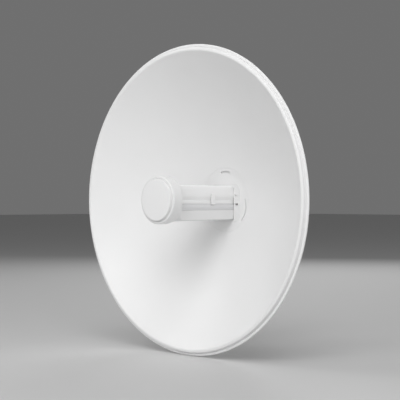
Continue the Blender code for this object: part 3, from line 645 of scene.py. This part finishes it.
def side_hole_cutters(place, back):
    """Cutters for one small hole on each side of the tube, which reach back to a depth."""
    right = rounded_box(*SIDE_HOLE_X, *place, 0.7 * MM, 4)
    holes = [[(sign * x, z) for x, z in right] for sign in (-1, 1)]
    return [as_cutter(prism_y(hole, depth(-HUB_CUT), depth(back))) for hole in holes]


def groove_cutter(outline, groove):
    """Cuts an outline into the front face, to a depth under the bowl at the slots."""
    floor = dish_front(SLOT_FACE_RADIUS) + groove
    return as_cutter(prism_y(outline, depth(-HUB_CUT), depth(floor)))


def make_hub_plate(look):
    """The plate round the tube's root: flat in the middle, with a hole for the tube, slots and holes."""
    radius = HUB_HOLE_RADIUS - SEAM
    chamfer = 0.12 * MM
    profile = [(0, PLATE_FLAT_DEPTH)]
    drop = dish_front(radius) - PLATE_FLAT_DEPTH
    for r in spaced(PLATE_FLAT_RADIUS, radius - chamfer, 20):
        along = (r - PLATE_FLAT_RADIUS) / (radius - PLATE_FLAT_RADIUS)
        profile.append((r, PLATE_FLAT_DEPTH + drop * along**2))
    back = PLATE_BACK_DEPTH
    profile += [(radius, dish_front(radius) + chamfer), (radius, back), (0, back)]
    plate = mesh_object("hub_plate", turned(profile, DISH_STEPS))
    top = slot_outline((0, 0), TOP_SLOT_RADIUS, TOP_SLOT_WIDTH, *TOP_SLOT_ENDS)
    right = slot_outline(SIDE_SLOT_CENTRE, SIDE_SLOT_RADIUS, SIDE_SLOT_WIDTH, *SIDE_SLOT_ENDS)
    left = [(-x, z) for x, z in right]
    cutters = [tube_cutter(PLATE_FLAT_DEPTH)] + side_hole_cutters(LOW_SIDE_HOLE, HUB_CUT)
    cutters += side_hole_cutters(HIGH_SIDE_HOLE, PLATE_FLAT_DEPTH + HIGH_HOLE_DEPTH)
    cutters.append(groove_cutter(top, TOP_SLOT_DEPTH))
    cutters += [groove_cutter(side, SIDE_SLOT_DEPTH) for side in (right, left)]
    carve(plate, cutters)
    finish_piece(plate, look, HEAD, ["hub_front_plate"])


def make_hub_ring(look):
    """The ring behind the dish, with pockets between ribs on its rear face."""
    chamfer = 0.8 * MM
    front, back = PLATE_BACK_DEPTH + GAP, RING_BACK_DEPTH
    profile = [(RING_BORE_RADIUS, front), (HUB_HOLE_RADIUS, front)]
    profile += [(r, dish_back(r, GAP)) for r in spaced(HUB_HOLE_RADIUS, RING_RADIUS - chamfer, 14)]
    profile += [(RING_RADIUS, dish_back(RING_RADIUS, GAP) + chamfer), (RING_RADIUS, back - chamfer)]
    profile += [(RING_RADIUS - chamfer, back), (RING_BORE_RADIUS, back)]
    ring = mesh_object("mount_ring", turned(profile, RING_TURN_STEPS))
    cutters = []
    inside, outside = POCKET_RADII
    for i in range(RING_POCKETS):
        middle = 360 * (i + 0.5) / RING_POCKETS
        low, high = middle - POCKET_HALF_ANGLE, middle + POCKET_HALF_ANGLE
        pocket = arc((0, 0), outside, low, high, 6) + arc((0, 0), inside, high, low, 6)
        cutters.append(as_cutter(prism_y(pocket, depth(POCKET_FLOOR), depth(back + HUB_CUT))))
    carve(ring, cutters)
    round_edges(ring, 0.4 * MM)
    finish_piece(ring, look, HEAD, ["hub_ring"])


# Feed


def drafted(outline, start, end, steps=1):
    """A bar along the feed whose section shrinks towards the dish, about the tube's centre."""
    rings = []
    for distance in spaced(start, end, steps + 1):
        size = draft_at(distance)
        y = depth(distance)
        rings.append([(x * size, y, TUBE_CENTRE_Z + (z - TUBE_CENTRE_Z) * size) for x, z in outline])
    return loft(rings)


def make_shell(name, outside, core_edge, channel_edge, rounding, look, replaced):
    """A shell of the tube, from its outer half outline and the edges of the core and the channel."""
    inner = CORE_HALF_WIDTH + GAP
    inside = [(inner, core_edge), (inner, channel_edge)]
    outline = mirrored(outside) + [(-x, z) for x, z in reversed(inside)] + inside
    shell = mesh_object(name, drafted(softened(outline, rounding), TUBE_FRONT, TUBE_BACK, 6))
    keep_flats(shell)
    finish_piece(shell, look, HEAD, [replaced], sharp=50)


def make_upper_shell(look):
    """The upper shell: leaning shoulders, a sloped band on each side and the lip under it."""
    side = TUBE_HALF_WIDTH
    outside = [(side - UPPER_LIP_INSET, CHANNEL_TOP)]
    outside += [(side - inset * MM, z * MM) for inset, z in UPPER_SIDE]
    corner = (side - UPPER_CORNER_INSET - UPPER_CORNER, TUBE_CENTRE_Z + TUBE_HALF_HEIGHT - UPPER_CORNER)
    outside += arc(corner, UPPER_CORNER, UPPER_LEAN, 90, 20)
    core_top = TUBE_CENTRE_Z + CORE_HALF_HEIGHT + GAP
    make_shell("feed_top", outside, core_top, CHANNEL_TOP, 0.3 * MM, look, "feed_upper_shell")


def make_lower_shell(look):
    """The lower shell, whose sides lean in a little towards its foot, in a white darkened as painted shade.
    """
    corner = (TUBE_HALF_WIDTH - FOOT_INSET - FOOT_CORNER, TUBE_CENTRE_Z - TUBE_HALF_HEIGHT + FOOT_CORNER)
    outside = [(TUBE_HALF_WIDTH, CHANNEL_BOTTOM)] + arc(corner, FOOT_CORNER, -FOOT_LEAN, -90, 12)
    core_bottom = TUBE_CENTRE_Z - CORE_HALF_HEIGHT - GAP
    make_shell("feed_bottom", outside, core_bottom, CHANNEL_BOTTOM, 0.4 * MM, look, "feed_lower_shell")


def make_channels(shell_look, rail_shade_look):
    """In the channel on each side: the rail, in a grey that paints the channel's shade, and the clip that
    bridges it.
    """
    inner = FLOOR_X + GAP
    for side, sign in SIDES:
        strip = [(inner, LEDGE_LOW), (LEDGE_X, LEDGE_LOW), (LEDGE_X, RAIL_LOW)]
        strip += [(RAIL_X, RAIL_LOW), (RAIL_X, RAIL_HIGH), (inner, RAIL_HIGH)]
        strip = [(sign * x, z) for x, z in softened(strip, 0.3 * MM)]
        rail = mesh_object(f"feed_strip_{side}", drafted(strip, TUBE_FRONT, TUBE_BACK, 6))
        finish_piece(rail, rail_shade_look, HEAD, [f"feed_rail_{side}"], sharp=50)

        post = [(inner, CLIP_LOW), (inner, CLIP_STEP), (CLIP_SEAT_X, CLIP_STEP), (CLIP_SEAT_X, CLIP_TOP)]
        post += [(CLIP_X - CLIP_TOP_CHAMFER, CLIP_TOP), (CLIP_X, CLIP_TOP - CLIP_CHAMFER)]
        post += [(CLIP_X, CLIP_LOW + CLIP_CHAMFER), (CLIP_X - CLIP_CHAMFER, CLIP_LOW)]
        post = [(sign * x, z) for x, z in softened(post, 0.3 * MM, 2)]
        clip = mesh_object(f"feed_latch_{side}", drafted(post, CLIP_FRONT, CLIP_BACK))
        round_edges(clip, 0.4 * MM, 3)
        finish_piece(clip, shell_look, HEAD, [f"feed_clip_{side}"])


def make_root_frame(look):
    """The thin frame on the hub, which the tube passes through, in a white darkened as painted shade."""
    outline = rounded_box(-ROOT_HALF_WIDTH, ROOT_HALF_WIDTH, ROOT_BOTTOM, ROOT_TOP, ROOT_CORNER)
    back = PLATE_FLAT_DEPTH - ROOT_GAP
    piece = mesh_object("root_frame", prism_y(outline, depth(back - ROOT_THICKNESS), depth(back)))
    round_edges(piece, 0.3 * MM, 3)
    holes = side_hole_cutters(LOW_SIDE_HOLE, HUB_CUT) + side_hole_cutters(HIGH_SIDE_HOLE, HUB_CUT)
    carve(piece, [tube_cutter(back)] + holes)
    keep_flats(piece)
    finish_piece(piece, look, HEAD, ["feed_root_flange"])


def collar_ring(distance, blend):
    """A ring between the tube's oblong section, at blend 0, and the drum's round one, at blend 1."""
    power = 2 + (COLLAR_POWER - 2) * (1 - blend) ** 6
    points = []
    for i in range(COLLAR_STEPS):
        angle = math.tau * i / COLLAR_STEPS
        wide, tall = abs(math.cos(angle)) / COLLAR_WIDE, abs(math.sin(angle)) / COLLAR_TALL
        oblong = (wide**power + tall**power) ** (-1 / power)
        radius = oblong * (1 - blend) + DRUM_BACK_RADIUS * blend
        centre = TUBE_CENTRE_Z * (1 - blend)
        points.append((radius * math.cos(angle), depth(distance), centre + radius * math.sin(angle)))
    return points


def circle_ring(radius, distance):
    return [(x, depth(distance), z) for x, z in arc((0, 0), radius, 0, 360, COLLAR_STEPS)[:-1]]


def make_collar(look):
    """The drum behind the cap: a short flare from the tube, a round wall and a rolled front edge."""
    back = TUBE_FRONT - GAP
    rings = []
    for i in range(FLARE_ROWS + 1):
        along = i / FLARE_ROWS
        rings.append(collar_ring(back + (DRUM_BACK - back) * along, along**FLARE_POWER))
    bulge = (COLLAR_RADIUS - DRUM_BULGE, DRUM_BACK - BULGE_LENGTH)
    profile = arc(bulge, DRUM_BULGE, BULGE_ANGLE, 0, 4)
    profile.append((COLLAR_RADIUS, DRUM_FRONT))
    profile += arc((COLLAR_RADIUS - COLLAR_ROLL, COLLAR_FRONT + COLLAR_ROLL), COLLAR_ROLL, 0, -90, 8)
    bore = CAP_RADIUS + CAP_GROOVE
    profile += [(bore, COLLAR_FRONT + COLLAR_FACE_DROP), (bore, CAP_SEAT)]
    rings += [circle_ring(radius, distance) for radius, distance in profile]
    collar = mesh_object("feed_flare", loft(rings))
    finish_piece(collar, look, HEAD, ["feed_collar"], sharp=45)


def make_cap(look, edge_shade_look):
    """A slightly domed disc with a steep chamfer, whose edge is darkened with painted shade."""
    radius = CAP_RADIUS + CAP_SPREAD
    width, height = CAP_CHAMFER
    face = radius - width
    profile = []
    for r in spaced(0, face - 0.8 * MM, 16):
        profile.append((r, CAP_FRONT + CAP_DOME * (r / radius) ** 2))
    edge = [(face - 0.5 * MM, CAP_FRONT + CAP_DOME), (face, CAP_FRONT + CAP_DOME + 0.1 * MM)]
    edge += [(radius, CAP_FRONT + CAP_DOME + height), (radius, CAP_SEAT - GAP)]
    profile += softened(edge, 0.4 * MM, closed=False)
    profile.append((0, CAP_SEAT - GAP))
    cap = mesh_object("feed_face", turned(profile, COLLAR_STEPS))
    finish_piece(cap, look, HEAD, ["feed_cap"], sharp=45)
    cap.data.materials.append(edge_shade_look)
    # the chamfer and the side, past the face, get the painted shade
    for polygon in cap.data.polygons:
        if math.hypot(polygon.center.x, polygon.center.z) > face - 0.2 * MM:
            polygon.material_index = 1


def dress_core(look):
    """Gives the solid core its look, a grey that paints the shade of the channels. It shows only as the
    floor of the channels.
    """
    core = frame["nodes"]["feed_core"]
    core.data.materials.clear()
    core.data.materials.append(look)


# Housing


def make_housing(look):
    """The housing: a rounded rear edge, a joint line round its sides and the open bay underneath."""
    bevel = HOUSING_BEVEL
    joint = depth(HOUSING_JOINT)
    sections = [(HOUSING_LOW.y, 0), (joint - JOINT_GROOVE, 0)]
    sections += [(joint, JOINT_GROOVE), (joint + JOINT_GROOVE, 0)]
    for angle in spaced(0, math.pi / 2, 9):
        sections.append((HOUSING_HIGH.y - bevel + bevel * math.sin(angle), bevel * (1 - math.cos(angle))))
    rings = []
    for y, inset in sections:
        left, right = HOUSING_LOW.x + inset, HOUSING_HIGH.x - inset
        low, high = HOUSING_LOW.z + inset, HOUSING_HIGH.z - inset
        outline = rounded_box(left, right, low, high, HOUSING_CORNER - inset, 10)
        rings.append([(x, y, z) for x, z in outline])
    housing = mesh_object("housing", loft(rings))
    past = 5 * MM
    bay = rounded_box(-BAY_HALF_WIDTH, BAY_HALF_WIDTH, depth(BAY_FRONT), HOUSING_HIGH.y + past, 1 * MM, 4)
    carve(housing, [as_cutter(prism_z(bay, HOUSING_LOW.z - past, BAY_TOP))])
    round_edges(housing, 0.35 * MM)
    finish_piece(housing, look, HEAD, ["rear_housing"])


def make_port_cover(look):
    """The cover over the rear side of the bay, with grooves for a thumb."""
    low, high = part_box("port_cover")
    plate = rounded_box(low.x, high.x, low.z, high.z, LID_CORNER, 5)
    cover = mesh_object("port_lid", prism_y(plate, low.y, high.y))
    half_width, half_height = THUMB_HALF
    cutters = []
    for i in range(THUMB_GROOVES):
        z = low.z + THUMB_LOW + THUMB_PITCH * i
        groove = rounded_box(-half_width, half_width, z - half_height, z + half_height, 0.44 * MM, 4)
        cutters.append(as_cutter(prism_y(groove, high.y - THUMB_DEPTH, high.y + 1 * MM)))
    carve(cover, cutters)
    round_edges(cover, 0.2 * MM)
    finish_piece(cover, look, HEAD, ["port_cover"])


def make_socket(looks):
    """The network socket, which opens downwards: a plated shell, a dark insert and eight contacts."""
    low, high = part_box("network_socket")
    middle = (low.y + high.y) / 2
    wide, tall = PORT_HALF
    roof = high.z - 2 * MM
    outline = rounded_box(low.x, high.x, low.y, high.y, 0.7 * MM, 4)
    shell = mesh_object("socket_shell", prism_z(outline, low.z, high.z))
    mouth = rounded_box(-wide, wide, middle - tall, middle + tall, 0.3 * MM, 2)
    latch_top = middle + tall + LATCH_HEIGHT
    latch = rounded_box(-LATCH_HALF_WIDTH, LATCH_HALF_WIDTH, middle, latch_top, 0.3 * MM, 2)
    below = low.z - 1 * MM
    carve(shell, [as_cutter(prism_z(hole, below, roof)) for hole in (mouth, latch)])
    round_edges(shell, 0.2 * MM)
    finish_piece(shell, looks["socket"], HEAD, ["network_socket"])

    wide -= INSERT_WALL
    front, back = middle - tall + INSERT_WALL, middle + tall - INSERT_WALL
    inside = rounded_box(-wide, wide, front, back, 0.3 * MM, 2)
    insert = mesh_object("socket_insert", prism_z(mouth, low.z + 0.8 * MM, roof))
    carve(insert, [as_cutter(prism_z(inside, below, roof - INSERT_WALL))])
    finish_piece(insert, looks["dark"], HEAD)

    wire = softened([(front + out * MM, roof + up * MM) for out, up in CONTACT_WIRE], 0.2 * MM, 2)
    for i in range(CONTACTS):
        x = (i - (CONTACTS - 1) / 2) * CONTACT_PITCH
        bar = prism_x(wire, x - CONTACT_HALF, x + CONTACT_HALF)
        contact = mesh_object(f"socket_contact_{i + 1}", bar)
        finish_piece(contact, looks["contact"], HEAD)


# Brackets


def cylinder(direction, place, radius, start, end):
    """A cutter along X or Y through a place in the other two directions."""
    circle = arc(place, radius, 0, 360, RING_STEPS)[:-1]
    prism = prism_x if direction == "x" else prism_y
    return as_cutter(prism(circle, start, end))


def make_tilt_bracket(look):
    """The bracket behind the dish: a bent sheet round the housing, with two slotted ears."""
    low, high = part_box("tilt_bracket")
    pivot = (PIVOT.y, 0)
    plate_back = low.y + STEEL + 2 * MM
    past = high.z + 5 * MM
    section = channel(TILT_EAR_X, low.y, low.y + STEEL, PIVOT.y + EAR_LENGTH, STEEL, BEND)
    bracket = mesh_object("head_bracket", prism_z(section, low.z, high.z))

    # Seen from the side: the plate, then the ear round the pivot and the slot.
    first, last = 90 - TILT_LIMIT, 90 + TILT_LIMIT
    slot_end = arc(pivot, LOCK_RADIUS, first, last, 1)[0]
    reach = SLOT_HALF + EAR_WALL
    foot, top = TILT_EAR_ROOTS
    side = [(low.y - 5 * MM, -past), (plate_back, -past), (plate_back, foot)]
    side += [(PIVOT.y - EAR_FLAT, -EAR_NOSE)]
    side += arc(pivot, EAR_NOSE, -90, 20, 20)
    side += arc(slot_end, reach, 0, first, 12)
    side += arc(pivot, LOCK_RADIUS + reach, first + 8, last, 12)
    side += [(PIVOT.y - LOCK_RADIUS - 2 * MM, SHOULDER_Z), (plate_back, top), (plate_back, past)]
    side += [(low.y - 5 * MM, past)]
    side_cutter = as_cutter(prism_x(softened(side, 3 * MM, 5), -CUT_X, CUT_X))

    # Seen from the front: narrower above and below the ears.
    wide, narrow, bevel = TILT_EAR_X + 6 * MM, TILT_NARROW_X, PLATE_BEVEL
    foot, top = TILT_WIDE_ENDS
    front = [(narrow - bevel, low.z), (narrow, low.z + bevel), (narrow, foot - TILT_SLOPE), (wide, foot)]
    front += [(wide, top), (narrow, top + TILT_SLOPE), (narrow, high.z - bevel), (narrow - bevel, high.z)]
    outline = softened(mirrored(front), 5 * MM, 5)
    front_cutter = as_cutter(prism_y(outline, low.y - CUT_X, low.y + CUT_X))
    carve(bracket, [side_cutter, front_cutter], "INTERSECT")

    left, right = HOUSING_LOW.x - HOUSING_ROOM, HOUSING_HIGH.x + HOUSING_ROOM
    bottom, roof = HOUSING_LOW.z - HOUSING_ROOM, HOUSING_HIGH.z + HOUSING_ROOM
    opening = rounded_box(left, right, bottom, roof, HOUSING_CORNER + 1 * MM, 10)
    start, end = low.y - 5 * MM, plate_back + 5 * MM
    holes = [as_cutter(prism_y(opening, start, end))]
    holes += [cylinder("y", place, BOLT_RADIUS + GAP, start, end) for place in STUDS.values()]
    holes.append(cylinder("x", pivot, BOLT_RADIUS + GAP, -CUT_X, CUT_X))
    slot = slot_outline(pivot, LOCK_RADIUS, 2 * SLOT_HALF, first, last, 16, 16)
    holes.append(as_cutter(prism_x(slot, -CUT_X, CUT_X)))
    carve(bracket, holes)
    round_edges(bracket, 0.4 * MM)
    finish_piece(bracket, look, HEAD, ["tilt_bracket"])


def make_pole_bracket(look):
    """The fixed bracket: a flat web that bears on the pole, and two ears that hold the tilt bolts."""
    low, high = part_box("pole_bracket")
    section = channel(POLE_EAR_X, 0, -WEB, PIVOT.y - EAR_LENGTH, STEEL, BEND)
    bracket = mesh_object("fixed_bracket", prism_z(section, low.z, high.z))
    past = high.z + 5 * MM
    root = -WEB - 3 * MM
    foot, top = POLE_EAR_ROOTS
    side = [(5 * MM, -past), (5 * MM, past), (root, past), (root, top)]
    side += arc((PIVOT.y, LOCK_RADIUS), LOCK_NOSE, 75, 180, 16)
    side += arc((PIVOT.y, 0), EAR_NOSE, 180, 285, 16)
    side += [(root, foot), (root, -past)]
    cutter = as_cutter(prism_x(softened(side, 3 * MM, 5), -CUT_X, CUT_X))
    carve(bracket, [cutter], "INTERSECT")
    holes = [cylinder("x", (PIVOT.y, z), BOLT_RADIUS + GAP, -CUT_X, CUT_X) for z in (0, LOCK_RADIUS)]
    half = CLAMP_BOLT_RADIUS + GAP
    for x in (-CLAMP_BOLT_X, CLAMP_BOLT_X):
        square_hole = rounded_box(x - half, x + half, -half, half, 0.4 * MM, 3)
        holes.append(as_cutter(prism_y(square_hole, -WEB - 5 * MM, 5 * MM)))
    carve(bracket, holes)
    round_edges(bracket, 0.4 * MM)
    finish_piece(bracket, look, MOUNT, ["pole_bracket"])


def make_clamp(look):
    """The rear clamp: a plate with two toothed flanges that grip the pole."""
    low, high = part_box("pole_clamp")
    front = high.y - STEEL
    plate = rounded_box(low.x, high.x, low.z, high.z, 5 * MM, 8)
    clamp = mesh_object("toothed_clamp", prism_y(plate, front, high.y))
    slope = math.tan(math.radians(NOTCH_SLOPE))
    side = NOTCH_APEX_Y - NOTCH_HALF_WIDTH * slope
    half = [(high.x - 6 * MM, front + 1 * MM), (high.x - 8 * MM, side + 6 * MM)]
    half.append((NOTCH_HALF_WIDTH + 4 * MM, side))
    pitch = NOTCH_HALF_WIDTH / TEETH
    for i in range(TEETH):
        tip = NOTCH_HALF_WIDTH - i * pitch
        gullet = tip - pitch / 2
        half.append((tip, NOTCH_APEX_Y - tip * slope))
        half.append((gullet, NOTCH_APEX_Y - gullet * slope + TOOTH))
    outline = mirrored(half)
    flanges = [mesh_object("flange", prism_z(outline, foot, foot + STEEL)) for foot in CLAMP_FLANGE_LOWS]
    carve(clamp, flanges, "UNION")
    radius = CLAMP_BOLT_RADIUS + GAP
    past = 12 * MM
    bolts = (-CLAMP_BOLT_X, CLAMP_BOLT_X)
    carve(clamp, [cylinder("y", (x, 0), radius, front - past, high.y + past) for x in bolts])
    round_edges(clamp, 0.3 * MM)
    finish_piece(clamp, look, MOUNT, ["pole_clamp"])


# Nuts and bolts


def shaped(reach):
    """An outline of RING_STEPS points, from the reach at an angle."""
    points = []
    for i in range(RING_STEPS):
        angle = math.tau * i / RING_STEPS
        radius = reach(angle)
        points.append((radius * math.cos(angle), radius * math.sin(angle)))
    return points


def disc(radius):
    return shaped(lambda angle: radius)


def hexagon(half_across, limit=1.12):
    """A hexagon whose corners are cut to a circle, at limit times half the width across the flats."""

    def reach(angle):
        off = (angle + math.pi / 6) % (math.pi / 3) - math.pi / 6
        return min(half_across / math.cos(off), half_across * limit)

    return shaped(reach)


def square(half):
    corner = 1.3 * half
    return shaped(lambda angle: min(half / max(abs(math.cos(angle)), abs(math.sin(angle))), corner))


def thread(radius, pitch, start, end):
    """Sections of a screw thread, as (outline, distance), with a tapered tip at the end."""
    sections = []
    rise = 0.55 * pitch
    direction = 1 if end > start else -1
    count = round(abs(end - start) / pitch * 6) + 1
    for distance in spaced(start, end, count):
        to_tip = abs(end - distance)
        crest = min(radius, radius - 0.8 * rise + to_tip)

        def reach(angle, distance=distance, crest=crest):
            turn = (direction * distance / pitch - angle / math.tau) % 1
            return min(crest, radius - rise * abs(2 * turn - 1))

        sections.append((shaped(reach), distance))
    return sections


def stacked(name, direction, place, sections, closed=False):
    """A solid over sections along X or Y, at a place in the other two directions."""
    rings = []
    for outline, distance in sections:
        if direction == "x":
            rings.append([(distance, place[0] + a, place[1] + b) for a, b in outline])
        else:
            rings.append([(place[0] + a, distance, place[1] + b) for a, b in outline])
    return mesh_object(name, loft(rings, closed))


def nut_sections(half_across, flange, start, end):
    """A flange nut from its bearing face at start to its free face at end."""
    out = 1 if end > start else -1
    chamfer = 0.5 * MM
    return [
        (disc(flange - 0.2 * MM), start),
        (disc(flange), start + out * 0.2 * MM),
        (disc(flange), start + out * 0.8 * MM),
        (disc(flange - 0.3 * MM), start + out * FLANGE_HEIGHT),
        (hexagon(half_across), start + out * (FLANGE_HEIGHT + 0.5 * MM)),
        (hexagon(half_across), end - out * chamfer),
        (hexagon(half_across, 1.04), end - out * 0.3 * chamfer),
        (hexagon(0.96 * half_across, 1), end),
    ]


def ring_nut(name, direction, place, bore, sections):
    """A nut with an open bore."""
    start, end = sections[0][1], sections[-1][1]
    closed = [(disc(bore), start)] + sections + [(disc(bore), end)]
    return stacked(name, direction, place, closed, closed=True)


def make_tilt_bolts(look):
    """Flange bolts through both ears on each side: the pivot, and the lock bolt in the arc slot."""
    nut_face = TILT_EAR_X - STEEL - GAP
    for side, sign in SIDES:
        for kind, z in (("pivot", 0.0), ("lock", LOCK_RADIUS)):
            place = (PIVOT.y, z)
            head = sign * (POLE_EAR_X + GAP)
            tip = sign * (nut_face - BOLT_PAST_NUT)
            head_end = head + sign * M6_HEAD
            # The head is a nut's shape, listed from its free face inwards.
            sections = nut_sections(M6_FLAT, M6_FLANGE, head, head_end)[::-1]
            sections += [(disc(BOLT_RADIUS), head), (disc(BOLT_RADIUS), sign * nut_face)]
            sections += thread(BOLT_RADIUS, M6_PITCH, sign * (nut_face - 0.1 * MM), tip)
            bolt = stacked(f"{kind}_screw_{side}", "x", place, sections)
            finish_piece(bolt, look, MOUNT, [f"{kind}_bolt_{side}"], sharp=25)
            sections = nut_sections(M6_FLAT, M6_NUT_FLANGE, sign * nut_face, sign * (nut_face - M6_NUT))
            nut = ring_nut(f"{kind}_flange_nut_{side}", "x", place, BOLT_RADIUS + GAP, sections)
            finish_piece(nut, look, MOUNT, [f"{kind}_nut_{side}"], sharp=25)


def make_stud_nuts(look):
    """Each nut closes on the stud that is welded to the back of the dish."""
    for name, place in STUDS.items():
        low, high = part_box(f"stud_nut_{name}")
        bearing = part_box("tilt_bracket")[0].y + STEEL + GAP
        end = bearing + M6_NUT
        sections = [(disc(BOLT_RADIUS), low.y), (disc(BOLT_RADIUS), bearing)]
        sections += nut_sections(M6_FLAT, M6_NUT_FLANGE, bearing, end)
        sections += thread(BOLT_RADIUS, M6_PITCH, end, high.y)
        nut = stacked(f"stud_and_nut_{name}", "y", place, sections)
        finish_piece(nut, look, HEAD, [f"stud_nut_{name}"], sharp=25)


def make_clamp_bolts(look):
    """Carriage bolts: a domed head and a square neck in the web, and a nut behind the clamp."""
    head = -WEB - GAP
    brim = 0.8 * MM
    nut_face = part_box("pole_clamp")[1].y + GAP
    shank, neck = disc(CLAMP_BOLT_RADIUS), square(CLAMP_BOLT_RADIUS)
    for side, sign in SIDES:
        place = (sign * CLAMP_BOLT_X, 0)
        sections = []
        for angle in spaced(math.radians(84), 0, 8):
            outline = disc(M8_HEAD_RADIUS * math.cos(angle))
            sections.append((outline, head - brim - (M8_HEAD - brim) * math.sin(angle)))
        sections += [(disc(M8_HEAD_RADIUS), head), (neck, head), (neck, head + M8_NECK)]
        sections += [(shank, head + M8_NECK + 0.4 * MM), (shank, M8_THREAD_START)]
        sections += thread(CLAMP_BOLT_RADIUS, M8_PITCH, M8_THREAD_START, BOLT_END)
        bolt = stacked(f"carriage_bolt_{side}", "y", place, sections)
        finish_piece(bolt, look, MOUNT, [f"clamp_bolt_{side}"], sharp=25)
        sections = nut_sections(M8_FLAT, M8_NUT_FLANGE, nut_face, nut_face + M8_NUT)
        nut = ring_nut(f"carriage_nut_{side}", "y", place, CLAMP_BOLT_RADIUS + GAP, sections)
        finish_piece(nut, look, MOUNT, [f"clamp_nut_{side}"], sharp=25)


# Stage


def make_camera():
    """The photograph's view: level with the dish axis, about halfway from its front to its right."""
    yaw = math.radians(CAMERA_YAW)
    rim_centre = Vector((0, depth(-RIM_PLANE), 0))
    place = rim_centre + Vector((math.sin(yaw), -math.cos(yaw), 0)) * CAMERA_DISTANCE
    data = bpy.data.cameras.new("camera")
    data.sensor_width = CAMERA_SENSOR
    data.lens = CAMERA_LENS
    data.clip_start = 0.05
    data.clip_end = 100
    camera = bpy.data.objects.new("camera", data)
    camera.location = place
    camera.rotation_euler = (math.radians(90), 0, yaw - math.radians(CAMERA_AIM))
    bpy.context.scene.collection.objects.link(camera)
    bpy.context.scene.camera = camera


def area_light(name, place, target, size, power):
    data = bpy.data.lights.new(name, "AREA")
    data.shape = "SQUARE"
    data.size = size
    data.energy = power
    light = bpy.data.objects.new(name, data)
    light.location = place
    light.rotation_euler = (Vector(target) - Vector(place)).to_track_quat("-Z", "Y").to_euler()
    bpy.context.scene.collection.objects.link(light)


def make_stage():
    """A pale floor under the rim's lowest point, and soft light, most of it from the right."""
    scene = bpy.context.scene
    scene.view_settings.view_transform = "Standard"
    floor_look = surface("floor", (FLOOR_WHITE,) * 3, 0.7, 3 * MM, 0.01 * MM, tint=0.01)
    half = FLOOR_HALF
    slab = [(-half, -half), (half, -half), (half, half), (-half, half)]
    floor = mesh_object("floor", prism_z(slab, -FLOOR_THICKNESS, 0))
    floor.data.materials.append(floor_look)
    floor.location.z = cad_low.z

    world = bpy.data.worlds.new("studio")
    world.use_nodes = True
    background = world.node_tree.nodes["Background"]
    background.inputs["Color"].default_value = (1, 1, 1, 1)
    background.inputs["Strength"].default_value = SKY_STRENGTH
    scene.world = world

    target = Vector((0, VERTEX_Y, 0))
    for name, round_angle, up_angle, power in LIGHTS:
        turn, rise = math.radians(round_angle), math.radians(up_angle)
        flat = math.cos(rise)
        direction = Vector((math.sin(turn) * flat, -math.cos(turn) * flat, math.sin(rise)))
        area_light(name, target + direction * LIGHT_DISTANCE, target, LIGHT_SIZE, power)


def main():
    looks = make_looks()
    make_dish(looks["dish"])
    make_hub_plate(looks["hub"])
    make_hub_ring(looks["plastic"])
    make_upper_shell(looks["plastic"])
    make_lower_shell(looks["lower"])
    make_channels(looks["plastic"], looks["inner"])
    make_root_frame(looks["frame"])
    make_collar(looks["collar"])
    make_cap(looks["cap"], looks["edge"])
    dress_core(looks["inner"])
    make_housing(looks["plastic"])
    make_port_cover(looks["plastic"])
    make_socket(looks)
    make_tilt_bracket(looks["bracket"])
    make_pole_bracket(looks["bracket"])
    make_clamp(looks["bracket"])
    make_tilt_bolts(looks["zinc"])
    make_stud_nuts(looks["zinc"])
    make_clamp_bolts(looks["zinc"])
    make_camera()
    make_stage()


main()
bpy.context.view_layer.update()
